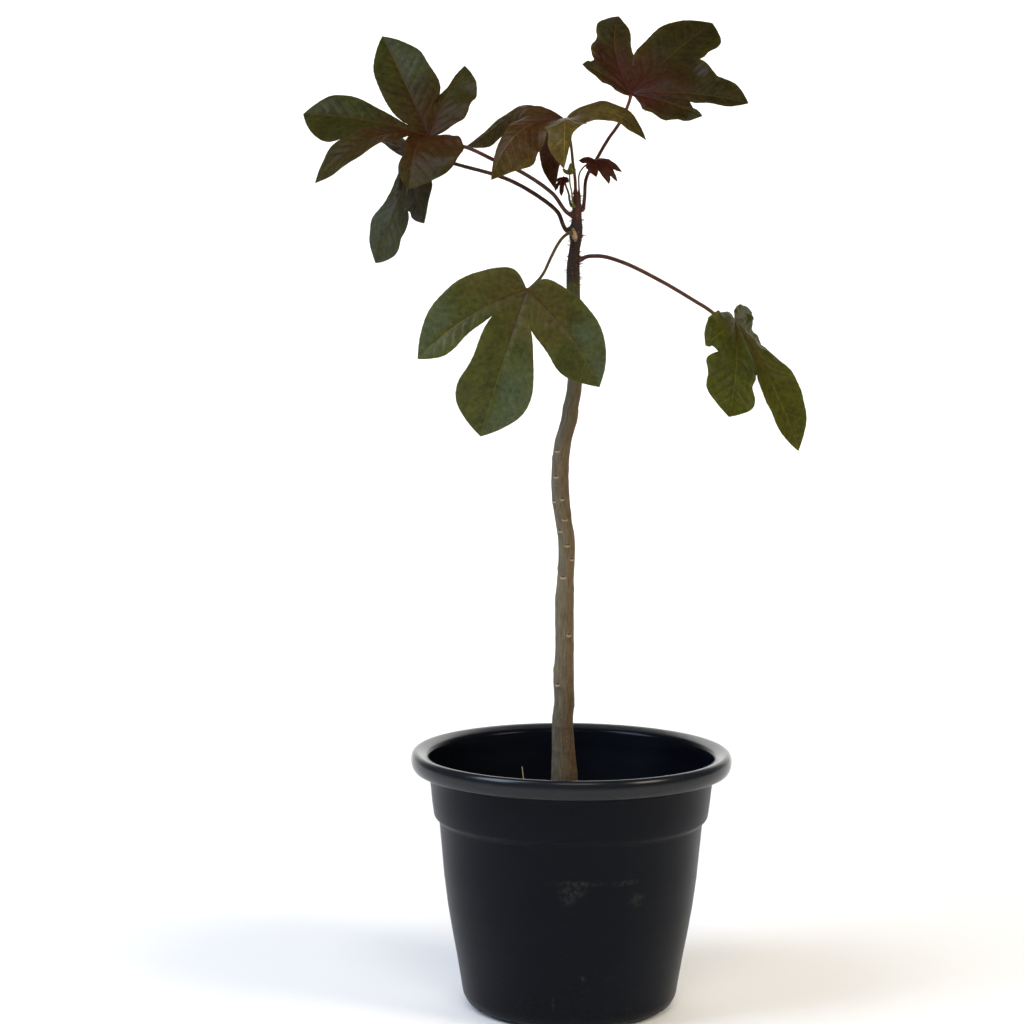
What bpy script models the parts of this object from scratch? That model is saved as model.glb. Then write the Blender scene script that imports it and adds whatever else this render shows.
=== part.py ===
"""A young jatropha in a round nursery pot: one woody stem, six grown leaves and three young ones.

Sizes are in millimetres and angles in degrees until the meshes are made in metres. The pot stands on
Z = 0 with its axis on Z, and the plant is looked at along +Y, so -Y is the front.
"""

import math

import bmesh
import bpy
import numpy as np
from mathutils import Vector

MM = 0.001
GAP = 0.3

POT_STEPS = 40
POT_FLOOR = 2.4
# Half section of the pot, from the middle of its floor up the inside, over the lip and down the outside
POT_SECTION = [
    (0, 2.4), (72.6, 2.4), (80.3, 10), (87, 42), (93.8, 80), (98.6, 123), (100.8, 147), (104.8, 151),
    (107.3, 171), (109.8, 189), (111, 196.5), (113, 198.6), (115.8, 199.8), (118.8, 200.9),
    (121.4, 201.4), (123.6, 200.1), (124.7, 197.6), (125, 194.4), (124.7, 191.3), (123.8, 188.7),
    (122.4, 186.5), (120.8, 187.8), (122, 190), (122.8, 192.4), (123, 194.6), (122.6, 197),
    (121.2, 198.9), (118.2, 198.6), (113.8, 196.5), (111.9, 191.5), (109.4, 171), (108.4, 161),
    (106.9, 150.5), (103, 147.5), (100.7, 123), (98.9, 103), (95.9, 80), (92.5, 60), (89.1, 42),
    (85.4, 20), (83.8, 10), (80.6, 4), (75, 0.8), (67.5, 0), (0, 0),
]
NOTCH_COUNT = 6
NOTCH_RADIUS = 7
NOTCH_REACH = 78
NOTCH_DROP = 1.5
NOTCH_TURN = 2

SOIL_TOP = 137
SOIL_RINGS = [14, 22, 34, 50, 68, 86]
SOIL_RISE = 3

STEM_FOOT_X = -5
STEM_FOOT_Z = 100
STEM_SIDES = 12
# Height, sideways position and thickness of the stem
STEM_STATIONS = [
    (100, -5, 21), (145, -5, 21), (178, -5.1, 21), (200, -6, 18.4), (225, -7, 16.6), (241, -5.7, 16),
    (257, -6.4, 16.4), (280, -5.9, 14.8), (319, -6.2, 15), (335, -5.6, 13.4), (352, -4.9, 13),
    (366, -5, 13.4), (382, -7.5, 13.2), (397, -9.5, 14), (413, -10.4, 13.8), (428, -10, 13.4),
    (444, -8, 13.3), (452, -5.8, 13), (460, -3.6, 13.2), (468, -2.8, 12.4), (483, 0, 11.8),
    (500, 0.4, 11.4), (530, -0.6, 11), (560, -1.4, 10.8), (575, -1.6, 10.6), (590, -0.7, 8.8),
    (598, 0.4, 9.2), (605, 0, 11.2), (611, 0.8, 8.6), (616, 1, 7.7), (622, 0.9, 7.6), (628, 0.8, 6.4),
    (633, 1, 5.6),
]

BLADE_THICKNESS = 0.8
YOUNG_THICKNESS = 0.7
# Half width along a lobe from the notch to the tip, and along the free edge of an outermost lobe
LOBE_AT = [0, 0.2, 0.4, 0.55, 0.72, 0.88, 0.96, 1]
LOBE_HALF_WIDTH = [0, 0.55, 0.9, 1, 0.88, 0.46, 0.17, 0]
EDGE_AT = [0, 0.03, 0.1, 0.2, 0.38, 0.55, 0.72, 0.88, 0.96, 1]
EDGE_HALF_WIDTH = [0, 0.3, 0.62, 0.84, 1, 0.98, 0.8, 0.42, 0.15, 0]
# Rows from the foot of a blade to its notches, rows from there to the tips, columns on each side of a rib
GROWN_MESH = (2, 6, 2)
YOUNG_MESH = (1, 3, 1)


def unit(vector):
    vector = np.asarray(vector, float)
    return vector / np.linalg.norm(vector)


def ease(low, high, values):
    part = np.clip((values - low) / (high - low), 0, 1)
    return part * part * (3 - 2 * part)


def smooth_curve(at, heights, values):
    """Heights at the values asked for, on a smooth line that never swings past its points."""
    at = np.asarray(at, float)
    heights = np.asarray(heights, float)
    rise = np.diff(heights) / np.diff(at)
    slope = np.concatenate([[rise[0]], (rise[1:] + rise[:-1]) / 2, [rise[-1]]])
    for i in range(1, len(at) - 1):
        if rise[i - 1] * rise[i] <= 0:
            slope[i] = 0
    values = np.clip(values, at[0], at[-1])
    k = np.clip(np.searchsorted(at, values) - 1, 0, len(at) - 2)
    step = at[k + 1] - at[k]
    t = (values - at[k]) / step
    low = (2 * t**3 - 3 * t**2 + 1) * heights[k] + (t**3 - 2 * t**2 + t) * step * slope[k]
    high = (3 * t**2 - 2 * t**3) * heights[k + 1] + (t**3 - t**2) * step * slope[k + 1]
    return low + high


def new_collection(name):
    collection = bpy.data.collections.new(name)
    bpy.context.scene.collection.children.link(collection)
    return collection


def material(name, colour, roughness):
    made = bpy.data.materials.new(name)
    made.use_nodes = True
    shader = made.node_tree.nodes["Principled BSDF"]
    shader.inputs["Base Color"].default_value = (*colour, 1)
    shader.inputs["Roughness"].default_value = roughness
    shader.inputs["Metallic"].default_value = 0
    made.diffuse_color = (*colour, 1)
    return made


def add_object(name, mesh, collection, surface=None):
    made = bpy.data.objects.new(name, mesh)
    collection.objects.link(made)
    if surface:
        mesh.materials.append(surface)
    return made


def evaluated_mesh(source, name):
    """A plain mesh of an object with its modifiers or its curve worked out."""
    bpy.context.view_layer.update()
    graph = bpy.context.evaluated_depsgraph_get()
    mesh = bpy.data.meshes.new_from_object(source.evaluated_get(graph))
    mesh.name = name
    bpy.data.objects.remove(source)
    work = bmesh.new()
    work.from_mesh(mesh)
    bmesh.ops.remove_doubles(work, verts=work.verts, dist=1e-7)
    work.to_mesh(mesh)
    work.free()
    return mesh


def smooth_shade(mesh):
    for face in mesh.polygons:
        face.use_smooth = True


def lathe_mesh(name, section, steps):
    """Turns a half section about Z."""
    mesh = bpy.data.meshes.new(name)
    points = [(x * MM, 0, z * MM) for x, z in section]
    mesh.from_pydata(points, [(i, i + 1) for i in range(len(points) - 1)], [])
    turned = add_object(name, mesh, bpy.context.scene.collection)
    screw = turned.modifiers.new("turn", "SCREW")
    screw.axis = "Z"
    screw.steps = steps
    screw.render_steps = steps
    screw.use_merge_vertices = True
    screw.merge_threshold = 0.0001
    return evaluated_mesh(turned, name)


def stem_at(height):
    """Sideways position and radius of the stem at a height."""
    heights = [z for z, x, d in STEM_STATIONS]
    middle = smooth_curve(heights, [x for z, x, d in STEM_STATIONS], height)
    radius = smooth_curve(heights, [d / 2 for z, x, d in STEM_STATIONS], height)
    return float(middle), float(radius)


def tube_mesh(name, points, radii, bevel_resolution):
    """A round tube with flat closed ends, through the points, with a radius at each."""
    curve = bpy.data.curves.new(name, "CURVE")
    curve.dimensions = "3D"
    curve.resolution_u = 1
    curve.bevel_depth = MM
    curve.bevel_resolution = bevel_resolution
    curve.use_fill_caps = True
    line = curve.splines.new("POLY")
    line.points.add(len(points) - 1)
    for knot, point, radius in zip(line.points, points, radii):
        knot.co = (*(Vector(point) * MM), 1)
        knot.radius = radius
    drawn = add_object(name, curve, bpy.context.scene.collection)
    return evaluated_mesh(drawn, name)


def slide_ring(mesh, ring_middle, along, plane_point, plane_normal):
    """Slides the ring of vertices at one end of a tube along it until the ring lies in a plane."""
    middle = Vector(ring_middle) * MM
    along = Vector(along).normalized()
    normal = Vector(plane_normal).normalized()
    point = Vector(plane_point) * MM
    for vertex in mesh.vertices:
        if abs((vertex.co - middle).dot(along)) < 1e-6:
            vertex.co += along * ((point - vertex.co).dot(normal) / along.dot(normal))


def stalk_mesh(name, foot, foot_normal, knots, blade_point, attach, radii, steps, drop):
    """A leaf stalk. Its foot lies flat against the stem and its top meets the blade's foot from one side."""
    attach = unit(attach)
    top = blade_point + attach * (BLADE_THICKNESS / 2 + GAP + drop)
    line = np.array([foot, *knots, top + attach * 2 * radii[1], top], float)
    run = np.concatenate([[0], np.cumsum(np.linalg.norm(np.diff(line, axis=0), axis=1))])
    at = np.linspace(0, run[-1], steps + 1)
    points = np.stack([smooth_curve(run, line[:, i], at) for i in range(3)], 1)
    share = at / run[-1]
    swell = 1 + 0.25 * (1 - ease(0, 0.08, share)) + 0.2 * ease(0.94, 1, share)
    mesh = tube_mesh(name, points, (radii[0] + (radii[1] - radii[0]) * share) * swell, 2)
    slide_ring(mesh, points[0], points[1] - points[0], foot, foot_normal)
    slide_ring(mesh, points[-1], points[-1] - points[-2], top, attach)
    return mesh


def stem_side(height, azimuth):
    """A point just off the side of the stem and the direction the side faces."""
    middle, radius = stem_at(height)
    turn = math.radians(azimuth)
    outward = np.array([math.cos(turn), math.sin(turn), 0])
    return np.array([middle, 0, height]) + outward * (radius + GAP), outward


def lobe(tip, left, right, arch, roll=0, bend=0, skew=0, peak_left=1, peak_right=1, folds=None):
    """One lobe: tip from the blade's foot, half widths, bow of the midrib and how it is turned."""
    return {
        "tip": np.array(tip, float), "left": left, "right": right, "arch": arch, "roll": roll,
        "bend": bend, "skew": skew, "peak_left": peak_left, "peak_right": peak_right, "folds": folds,
    }


class Blade:
    """A palmate blade as one bent surface, its lobes in order anticlockwise on the upper side."""

    def __init__(self, foot, face, lobes, notches, seams, fold, edges=(0.06, 0.06), wave=1.0):
        self.foot = np.array(foot, float)
        self.face = unit(face)
        self.lobes = lobes
        self.notches = notches
        self.seams = seams
        self.fold = fold
        self.edges = edges
        self.wave = wave
        for one in lobes:
            one["length"] = np.linalg.norm(one["tip"])
            one["along"] = unit(one["tip"])
            side = unit(np.cross(self.face, one["tip"]))
            one["bow"] = unit(np.cross(one["tip"], side))
            roll = math.radians(one["roll"])
            one["side"] = side * math.cos(roll) + one["bow"] * math.sin(roll)
        pairs = zip(lobes[:-1], lobes[1:])
        self.half_angles = [math.acos(np.clip(a["along"] @ b["along"], -1, 1)) / 2 for a, b in pairs]

    def place(self, k, along, aside):
        """Points at a distance along lobe k and to the left of its midrib."""
        one = self.lobes[k]
        length = one["length"]
        share = along / length
        ahead = np.maximum(share, 0)
        lean = 1 + one["skew"] * (2 * ahead - 1)
        bow = np.where(share >= 0, 4 * one["arch"] * ahead * (1 - ahead) * lean,
                       4 * one["arch"] * (1 - one["skew"]) * share)
        bow_slope = (1 - 2 * ahead) * lean + ahead * (1 - ahead) * 2 * one["skew"]
        bow_slope = 4 * one["arch"] * bow_slope / length
        sway = 4 * one["bend"] * ahead * (1 - ahead)
        sway_slope = 4 * one["bend"] * (1 - 2 * ahead) / length
        middle = one["tip"] * share[..., None] + one["bow"] * bow[..., None] + one["side"] * sway[..., None]
        tangent = one["along"] + one["bow"] * bow_slope[..., None] + one["side"] * sway_slope[..., None]
        tangent /= np.linalg.norm(tangent, axis=-1, keepdims=True)
        side = one["side"] - tangent * (tangent @ one["side"])[..., None]
        normal = np.cross(tangent, side)
        fold_left, fold_right = one["folds"] or (self.fold, self.fold)
        fold = np.radians(np.where(aside > 0, fold_left, fold_right))
        mean_width = (one["left"] + one["right"]) / 2
        ripple = self.wave * np.sin(along / length * 19 + 1.7 * k)
        ripple = ripple * np.clip(np.abs(aside) / mean_width, 0, 1.5) ** 2
        ripple = ripple * ease(0.1, 0.4, share) * (1 - ease(0.85, 1, share))
        lift = np.abs(aside) * np.sin(fold) + ripple
        return middle + (aside * np.cos(fold))[..., None] * side + lift[..., None] * normal

    def grid(self, k, rows_in, rows_out, columns):
        """Rows of points over lobe k, from the foot of the blade past the notches to the tip."""
        one = self.lobes[k]
        length = one["length"]
        left_notch = self.notches[k] if k < len(self.lobes) - 1 else None
        right_notch = self.notches[k - 1] if k > 0 else None
        start = np.mean([n for n in (left_notch, right_notch) if n is not None]) / length
        row = np.arange(rows_in + rows_out + 1)
        inner = row <= rows_in
        climb = np.clip(row / rows_in, 0, 1)
        out = np.clip((row - rows_in) / rows_out, 0, 1)
        rib = np.where(inner, climb * start, start + (1 - start) * out)
        along = np.zeros((len(row), 2 * columns + 1))
        aside = np.zeros_like(along)
        blend = np.zeros_like(along)
        for sign, notch, key in ((1, left_notch, "left"), (-1, right_notch, "right")):
            width = one[key]
            peak = one["peak_" + key]
            if notch is not None:
                other_share = self.seams[k] if sign > 0 else 1 - self.seams[k - 1]
                turn = 2 * self.half_angles[k if sign > 0 else k - 1] * other_share
                notch_along = notch * math.cos(turn)
                notch_aside = notch * math.sin(turn)
                edge_along = np.where(inner, climb * notch_along, notch_along + (length - notch_along) * out)
                swell = width * smooth_curve(LOBE_AT, LOBE_HALF_WIDTH, out**peak)
                edge_aside = notch_aside * (1 - ease(0, 0.5, out)) + swell
                edge_aside = np.where(inner, climb * notch_aside, edge_aside)
                share = other_share * (1 - ease(0, 0.35, out))
            else:
                back = self.edges[0 if sign < 0 else 1] * length
                reach = np.where(inner, start * climb**1.6, rib)
                edge_along = reach * length - back * np.sin(np.pi * np.clip(reach / 0.25, 0, 1))
                edge_aside = width * smooth_curve(EDGE_AT, EDGE_HALF_WIDTH, np.clip(reach, 0, 1) ** peak)
                share = np.zeros(len(row))
            for j in range(columns + 1):
                t = j / columns
                column = columns + sign * j
                along[:, column] = rib * length * (1 - t) + edge_along * t
                aside[:, column] = sign * edge_aside * t
                blend[:, column] = share * t * t
        points = self.place(k, along, aside)
        for sign, part in ((1, slice(columns + 1, 2 * columns + 1)), (-1, slice(0, columns))):
            other = k + sign
            if not 0 <= other < len(self.lobes):
                continue
            turn = 2 * self.half_angles[k if sign > 0 else k - 1] * sign
            a = along[:, part] * math.cos(turn) + aside[:, part] * math.sin(turn)
            b = aside[:, part] * math.cos(turn) - along[:, part] * math.sin(turn)
            share = blend[:, part][..., None]
            points[:, part] = points[:, part] * (1 - share) + self.place(other, a, b) * share
        return self.foot + points


def blade_mesh(name, blade, counts):
    """The lobes side by side as grids, welded along the seams between them."""
    work = bmesh.new()
    for k in range(len(blade.lobes)):
        points = blade.grid(k, *counts)
        rows, columns = points.shape[:2]
        made = bmesh.ops.create_grid(work, x_segments=columns - 1, y_segments=rows - 1, size=1)
        corners = sorted(made["verts"], key=lambda v: (round(v.co.y, 4), -round(v.co.x, 4)))
        for vertex, point in zip(corners, points.reshape(-1, 3)):
            vertex.co = Vector(point) * MM
    bmesh.ops.remove_doubles(work, verts=work.verts, dist=2e-5)
    bmesh.ops.dissolve_degenerate(work, edges=work.edges, dist=1e-6)
    bmesh.ops.triangulate(work, faces=work.faces, quad_method="SHORT_EDGE")
    mesh = bpy.data.meshes.new(name)
    work.to_mesh(mesh)
    work.free()
    return mesh


def add_blade(name, blade, counts, thickness, surface, collection):
    mesh = blade_mesh(name, blade, counts)
    made = add_object(name, mesh, collection, surface)
    shell = made.modifiers.new("thickness", "SOLIDIFY")
    shell.thickness = thickness * MM
    shell.offset = 0
    shell.use_even_offset = False
    return made


def add_pot(collection, cutters):
    """Thin moulded pot with a collar, a turned-down lip and drain notches under its edge."""
    surface = material("black_plastic", (0.035, 0.038, 0.045), 0.38)
    mesh = lathe_mesh("pot", POT_SECTION, POT_STEPS)
    smooth_shade(mesh)
    pot = add_object("pot", mesh, collection, surface)
    for i in range(NOTCH_COUNT):
        work = bmesh.new()
        bmesh.ops.create_cone(work, segments=12, radius1=NOTCH_RADIUS * MM, radius2=NOTCH_RADIUS * MM,
                              depth=36 * MM, cap_ends=True)
        notch_mesh = bpy.data.meshes.new("notch_%d" % i)
        work.to_mesh(notch_mesh)
        work.free()
        notch = add_object("notch_%d" % i, notch_mesh, cutters)
        turn = math.radians(NOTCH_TURN - 90 + 360 * i / NOTCH_COUNT)
        reach = NOTCH_REACH * MM
        notch.location = (reach * math.cos(turn), reach * math.sin(turn), -NOTCH_DROP * MM)
        notch.rotation_euler = (0, math.radians(90), turn)
        notch.hide_render = True
        notch.display_type = "WIRE"
        cut = pot.modifiers.new("notch_%d" % i, "BOOLEAN")
        cut.operation = "DIFFERENCE"
        cut.solver = "EXACT"
        cut.object = notch


def add_soil(collection):
    """Soil that fills the pot, with an uneven top and a plain hole for the foot of the stem."""
    surface = material("potting_soil", (0.075, 0.05, 0.035), 0.95)
    hole = stem_at(STEM_FOOT_Z)[1] + GAP
    hole_floor = STEM_FOOT_Z - GAP
    inside = POT_SECTION[1:7]
    inner_radius = float(np.interp(SOIL_TOP, [z for x, z in inside], [x for x, z in inside]))
    section = [(0, hole_floor), (hole, hole_floor), (hole, SOIL_TOP)]
    section += [(ring, SOIL_TOP) for ring in SOIL_RINGS]
    section += [(inner_radius - GAP, SOIL_TOP)]
    section += [(x - GAP, z + GAP) for x, z in reversed(inside) if z < SOIL_TOP]
    section += [(0, POT_FLOOR + GAP)]
    mesh = lathe_mesh("soil", section, POT_STEPS)
    for vertex in mesh.vertices:
        x, y, z = vertex.co / MM
        radius = math.hypot(x, y)
        if z < STEM_FOOT_Z - 1 or radius > inner_radius + 1:
            continue
        inward = min(1, (inner_radius - GAP - radius) / (inner_radius - GAP - hole))
        vertex.co.x += STEM_FOOT_X * inward * MM
        if z > SOIL_TOP - 1:
            rise = SOIL_RISE * math.exp(-((radius / 40) ** 2))
            rise += 1.4 * math.sin(x / 17) * math.cos(y / 13 + 1) * min(1, radius / 30)
            vertex.co.z += (rise if radius < inner_radius - 1 else 0) * MM
    smooth_shade(mesh)
    add_object("soil", mesh, collection, surface)


def add_trunk(collection):
    """The woody stem from its foot in the soil to the growing tip."""
    surface = material("stem_bark", (0.22, 0.18, 0.12), 0.75)
    heights = [STEM_FOOT_Z, 145]
    heights += [float(z) for z in np.arange(155, 575, 10)]
    heights += [575, 583, 590, 598, 605, 611, 616, 622, 628, 633]
    points = [(stem_at(z)[0], 0, z) for z in heights]
    radii = [stem_at(z)[1] for z in heights]
    mesh = tube_mesh("trunk", points, radii, (STEM_SIDES - 4) // 2)
    smooth_shade(mesh)
    add_object("trunk", mesh, collection, surface)


def add_leaf(name, blade, foot, knots, attach, radii, steps, colours, collection, young=False, drop=0):
    """A stalk and its blade, a hair's width apart."""
    stalk_surface = material(name + "_stalk_green", colours[0], 0.6)
    blade_surface = material(name + "_blade_green", colours[1], 0.5)
    mesh = stalk_mesh(name + "_stalk", foot[0], foot[1], knots, blade.foot, attach, radii, steps, drop)
    smooth_shade(mesh)
    add_object(name + "_stalk", mesh, collection, stalk_surface)
    counts = YOUNG_MESH if young else GROWN_MESH
    thickness = YOUNG_THICKNESS if young else BLADE_THICKNESS
    add_blade(name + "_blade", blade, counts, thickness, blade_surface, collection)


for old in list(bpy.data.objects):
    bpy.data.objects.remove(old, do_unlink=True)

plant = new_collection("potted_jatropha")
tools = new_collection("cutters")

add_pot(plant, tools)
add_soil(plant)
add_trunk(plant)

# Leaf in front, three lobes hanging down to the left of the stem
front_blade = Blade(
    foot=(-36, -52, 560), face=(0, -1, 0.25),
    lobes=[
        lobe((-81, -14, -52), 14, 27, 6, bend=-5, peak_left=1.3, peak_right=0.9),
        lobe((-34, -6, -110), 29, 28, 8, peak_left=1.15, peak_right=1.25),
        lobe((55, 8, -73), 24, 23, 6, bend=4),
    ],
    notches=[34, 27], seams=[0.3, 0.33], fold=10,
)
add_leaf("front_leaf", front_blade, stem_side(603, 230),
         [(-9, -12, 600), (-14, -22, 593), (-18, -30, 585), (-26, -44, 569)],
         (0, 1, -0.25), (1.4, 1.2), 12, [(0.16, 0.12, 0.08), (0.16, 0.17, 0.08)], plant)

# Large leaf at the upper left
upper_left_blade = Blade(
    foot=(-111, -25, 674), face=(-0.15, -0.75, 0.65),
    lobes=[
        lobe((25, 35, 56), 2, 25, 5),
        lobe((-39, 45, 79), 20, 22, 5, peak_left=0.85, peak_right=0.8),
        lobe((-96, 5, 17), 29, 20, 6, peak_left=1.4, peak_right=1.4),
        lobe((-83, -35, -36), 21, 18, 21, roll=18, peak_left=1.2),
        lobe((-12, -50, -41), 38, 10, 14, peak_left=1.7, peak_right=1.4),
    ],
    notches=[27, 14, 25, 25], seams=[0.3, 0.69, 0.5, 0.5], fold=8, edges=(-0.05, 0.15),
)
add_leaf("upper_left_leaf", upper_left_blade, stem_side(617, 198),
         [(-18, -4, 633), (-42, -8, 649), (-61, -12, 657), (-84, -19, 667)],
         (0.15, 0.75, -0.65), (1.7, 1.5), 14, [(0.13, 0.06, 0.06), (0.13, 0.14, 0.09)], plant)

# Leaf behind it at the lower left, two lobes hanging down
lower_left_blade = Blade(
    foot=(-122, 15, 664), face=(-0.65, -0.65, 0.35),
    lobes=[
        lobe((-52, 40, 14), 6, 14, 8, roll=60),
        lobe((-32, -8, -85), 21, 18, 8, bend=8, peak_left=1, peak_right=1.6, folds=(0, 10)),
        lobe((8, -50, -55), 24, 8, 8),
    ],
    notches=[10, 52], seams=[0.6, 0.66], fold=10, edges=(-0.02, -0.02),
)
add_leaf("lower_left_leaf", lower_left_blade, stem_side(605, 170),
         [(-14, 4, 619), (-29, 8, 631), (-53, 12, 644), (-91, 15, 655)],
         (0.8, 0.5, -0.3), (1.8, 1.5), 14, [(0.13, 0.07, 0.06), (0.16, 0.17, 0.14)], plant)

# Half grown leaf on top, its lobes hanging like an umbrella
top_centre_blade = Blade(
    foot=(-8, 5, 689), face=(0, -0.2, 1),
    lobes=[
        lobe((-8, 30, -52), 10, 12, 18, roll=50),
        lobe((-77, 25, -19), 14, 8, 14, roll=-40, skew=-0.8),
        lobe((-56, -33, -47), 25, 10, 17, roll=-30, peak_right=0.6),
        lobe((-1, -45, -39), 6, 13, 18, peak_left=0.6),
        lobe((61, -18, -16), 10, 10, 14, roll=28, folds=(8, 8)),
    ],
    notches=[18, 22, 25, 22], seams=[0.5, 0.5, 0.5, 0.5], fold=-14, edges=(-0.08, 0.06),
)
add_leaf("top_centre_leaf", top_centre_blade, (np.array([-0.3, 0, 633.3]), np.array([0, 0, 1])),
         [(-0.8, 0, 645), (-2.4, 1, 656), (-4, 3, 670)],
         (0.2, 0.2, -1), (1.4, 1.1), 8, [(0.24, 0.12, 0.08), (0.22, 0.2, 0.1)], plant, drop=0.9)

# Leaf at the upper right, its lobes spread upwards
top_right_blade = Blade(
    foot=(41, -5, 708), face=(0.1, -0.85, 0.5),
    lobes=[
        lobe((54, -15, -17), 3, 17, 4, peak_right=1.4),
        lobe((89, -10, -7), 17, 8, 7),
        lobe((63.5, 42, 57.5), 22, 20, 6, peak_left=0.8, peak_right=1.15),
        lobe((-9, 38, 62), 15, 13, 6, bend=8, peak_left=1.2),
        lobe((-37, -4, 22), 7, 5, 4),
    ],
    notches=[44, 53, 18, 37], seams=[0.5, 0.64, 0.5, 0.72], fold=8, edges=(-0.05, 0.02),
)
add_leaf("top_right_leaf", top_right_blade, stem_side(621, 5),
         [(6.4, 0, 627), (8, 4, 645), (16, 8, 660), (24, 9, 674), (33, 5, 687)],
         (-0.1, 0.5, -1), (1.5, 1.4), 12, [(0.15, 0.06, 0.06), (0.17, 0.14, 0.1)], plant)

# Leaf on the right, two long lobes hanging straight down
right_blade = Blade(
    foot=(122, -12, 537), face=(0.35, -0.85, 0.35),
    lobes=[
        lobe((-24, -38, -18), 3, 15, 5, peak_right=1.4),
        lobe((-6, -45, -71), 18, 24, 8, peak_left=1.5, peak_right=0.9),
        lobe((51, 10, -100), 21, 12, 8),
        lobe((25, 60, -21), 5, 10, 0),
        lobe((12.5, 40, 9.5), 7, 6, 0, peak_left=1.2),
    ],
    notches=[43, 45, 30, 34], seams=[0.35, 0.6, 0.5, 0.5], fold=8, edges=(0.16, -0.06),
)
add_leaf("right_leaf", right_blade, stem_side(583, -10),
         [(9, -2, 585), (17, -3, 585.5), (33, -5, 582), (67, -6, 566), (98, -6, 548)],
         (-0.8, 0.35, -0.1), (1.7, 1.5), 16, [(0.14, 0.07, 0.06), (0.2, 0.23, 0.09)], plant, drop=0.4)

# Young red leaf right of the growing tip, still crumpled
young_red_blade = Blade(
    foot=(14.5, -9, 658), face=(0, -0.6, 0.8),
    lobes=[
        lobe((-12.5, -2, -0.5), 5, 2.5, 2),
        lobe((1, -6, -13), 1.5, 6, 3),
        lobe((10.5, -10, -18.5), 3, 3.5, 4),
        lobe((17, -8, -16.5), 2, 2.5, 4),
        lobe((20.5, -4, -9), 5, 3, 3),
    ],
    notches=[7, 5, 16, 14], seams=[0.5, 0.5, 0.5, 0.5], fold=-10, edges=(0, 0), wave=0.2,
)
add_leaf("young_red_leaf", young_red_blade, (np.array([2.4, -1, 633.3]), np.array([0, 0, 1])),
         [(2.1, -2.5, 645), (3.2, -3, 649.5), (7, -4, 654)],
         (-0.4, 0.7, -0.4), (0.8, 0.7), 8, [(0.2, 0.07, 0.05), (0.26, 0.08, 0.05)], plant, young=True)

# Young dark leaf left of the growing tip
young_dark_blade = Blade(
    foot=(-9.5, -6, 645), face=(-0.3, -0.6, 0.75),
    lobes=[
        lobe((-5.5, -4, -3.5), 1.5, 2, 1),
        lobe((-6.5, -4, -10.5), 1.8, 1.5, 1.5),
        lobe((-1.5, -5, -14.5), 2, 1.8, 1.5),
        lobe((4, -4, -4), 2, 2, 1),
    ],
    notches=[4, 6, 4], seams=[0.5, 0.5, 0.5], fold=-8, edges=(0, 0), wave=0.1,
)
add_leaf("young_dark_leaf", young_dark_blade, stem_side(624, 195),
         [(-4.8, -1.8, 628), (-5.4, -2.6, 632.5), (-7.6, -3.4, 638.5)],
         (0.2, 0.8, -0.4), (1.1, 0.8), 6, [(0.2, 0.14, 0.05), (0.15, 0.05, 0.03)], plant, young=True)

# Smallest leaf, green and only just opening
young_green_blade = Blade(
    foot=(-5, -7, 647.5), face=(0, -0.9, -0.3),
    lobes=[
        lobe((5, -1, 4), 1.2, 1.6, 0.5),
        lobe((1, -1, 8.5), 1.4, 1.4, 0.8),
        lobe((-5.5, -2, 4), 1.6, 1.2, 0.5),
    ],
    notches=[3.2, 3.2], seams=[0.5, 0.5], fold=5, edges=(0, 0), wave=0,
)
add_leaf("young_green_leaf", young_green_blade, stem_side(623, 240),
         [(-2.4, -5.2, 627), (-3.2, -5.8, 634), (-4.6, -6.4, 641)],
         (0.1, 0.1, -1), (0.8, 0.7), 6, [(0.2, 0.2, 0.06), (0.17, 0.2, 0.06)], plant, young=True)
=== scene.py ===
import math
import random
from functools import partial
from types import SimpleNamespace

import bpy
import numpy as np
from mathutils import Matrix, Vector, noise


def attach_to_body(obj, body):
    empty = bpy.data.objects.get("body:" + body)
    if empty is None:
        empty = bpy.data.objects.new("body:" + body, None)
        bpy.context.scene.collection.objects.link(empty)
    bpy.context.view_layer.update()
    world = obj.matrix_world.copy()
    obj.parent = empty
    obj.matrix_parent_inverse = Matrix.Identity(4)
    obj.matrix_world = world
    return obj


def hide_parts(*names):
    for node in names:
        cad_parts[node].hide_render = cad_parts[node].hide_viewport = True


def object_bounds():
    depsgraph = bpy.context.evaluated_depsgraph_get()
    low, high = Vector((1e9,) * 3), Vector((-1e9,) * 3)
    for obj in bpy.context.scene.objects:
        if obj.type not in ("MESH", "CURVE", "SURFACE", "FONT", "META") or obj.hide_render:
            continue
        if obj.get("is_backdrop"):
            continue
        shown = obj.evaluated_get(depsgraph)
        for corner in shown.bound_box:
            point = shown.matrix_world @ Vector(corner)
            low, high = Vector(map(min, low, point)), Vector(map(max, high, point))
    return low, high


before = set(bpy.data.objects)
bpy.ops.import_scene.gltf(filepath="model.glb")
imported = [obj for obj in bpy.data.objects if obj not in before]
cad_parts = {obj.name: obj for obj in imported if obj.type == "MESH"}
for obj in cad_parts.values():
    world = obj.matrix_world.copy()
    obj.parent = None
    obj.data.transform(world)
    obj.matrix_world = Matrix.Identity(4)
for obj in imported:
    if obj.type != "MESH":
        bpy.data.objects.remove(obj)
cad_low, cad_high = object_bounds()

# Pot
# A round nursery pot of black polypropylene, injection moulded in one piece: a thin tapered wall, a
# wider collar above a step, a lip rolled over to stiffen the mouth, and drain notches at the bottom edge.

# The scene is in metres, and the sizes in this file are in mm where nothing else is said
MM = 0.001
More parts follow.
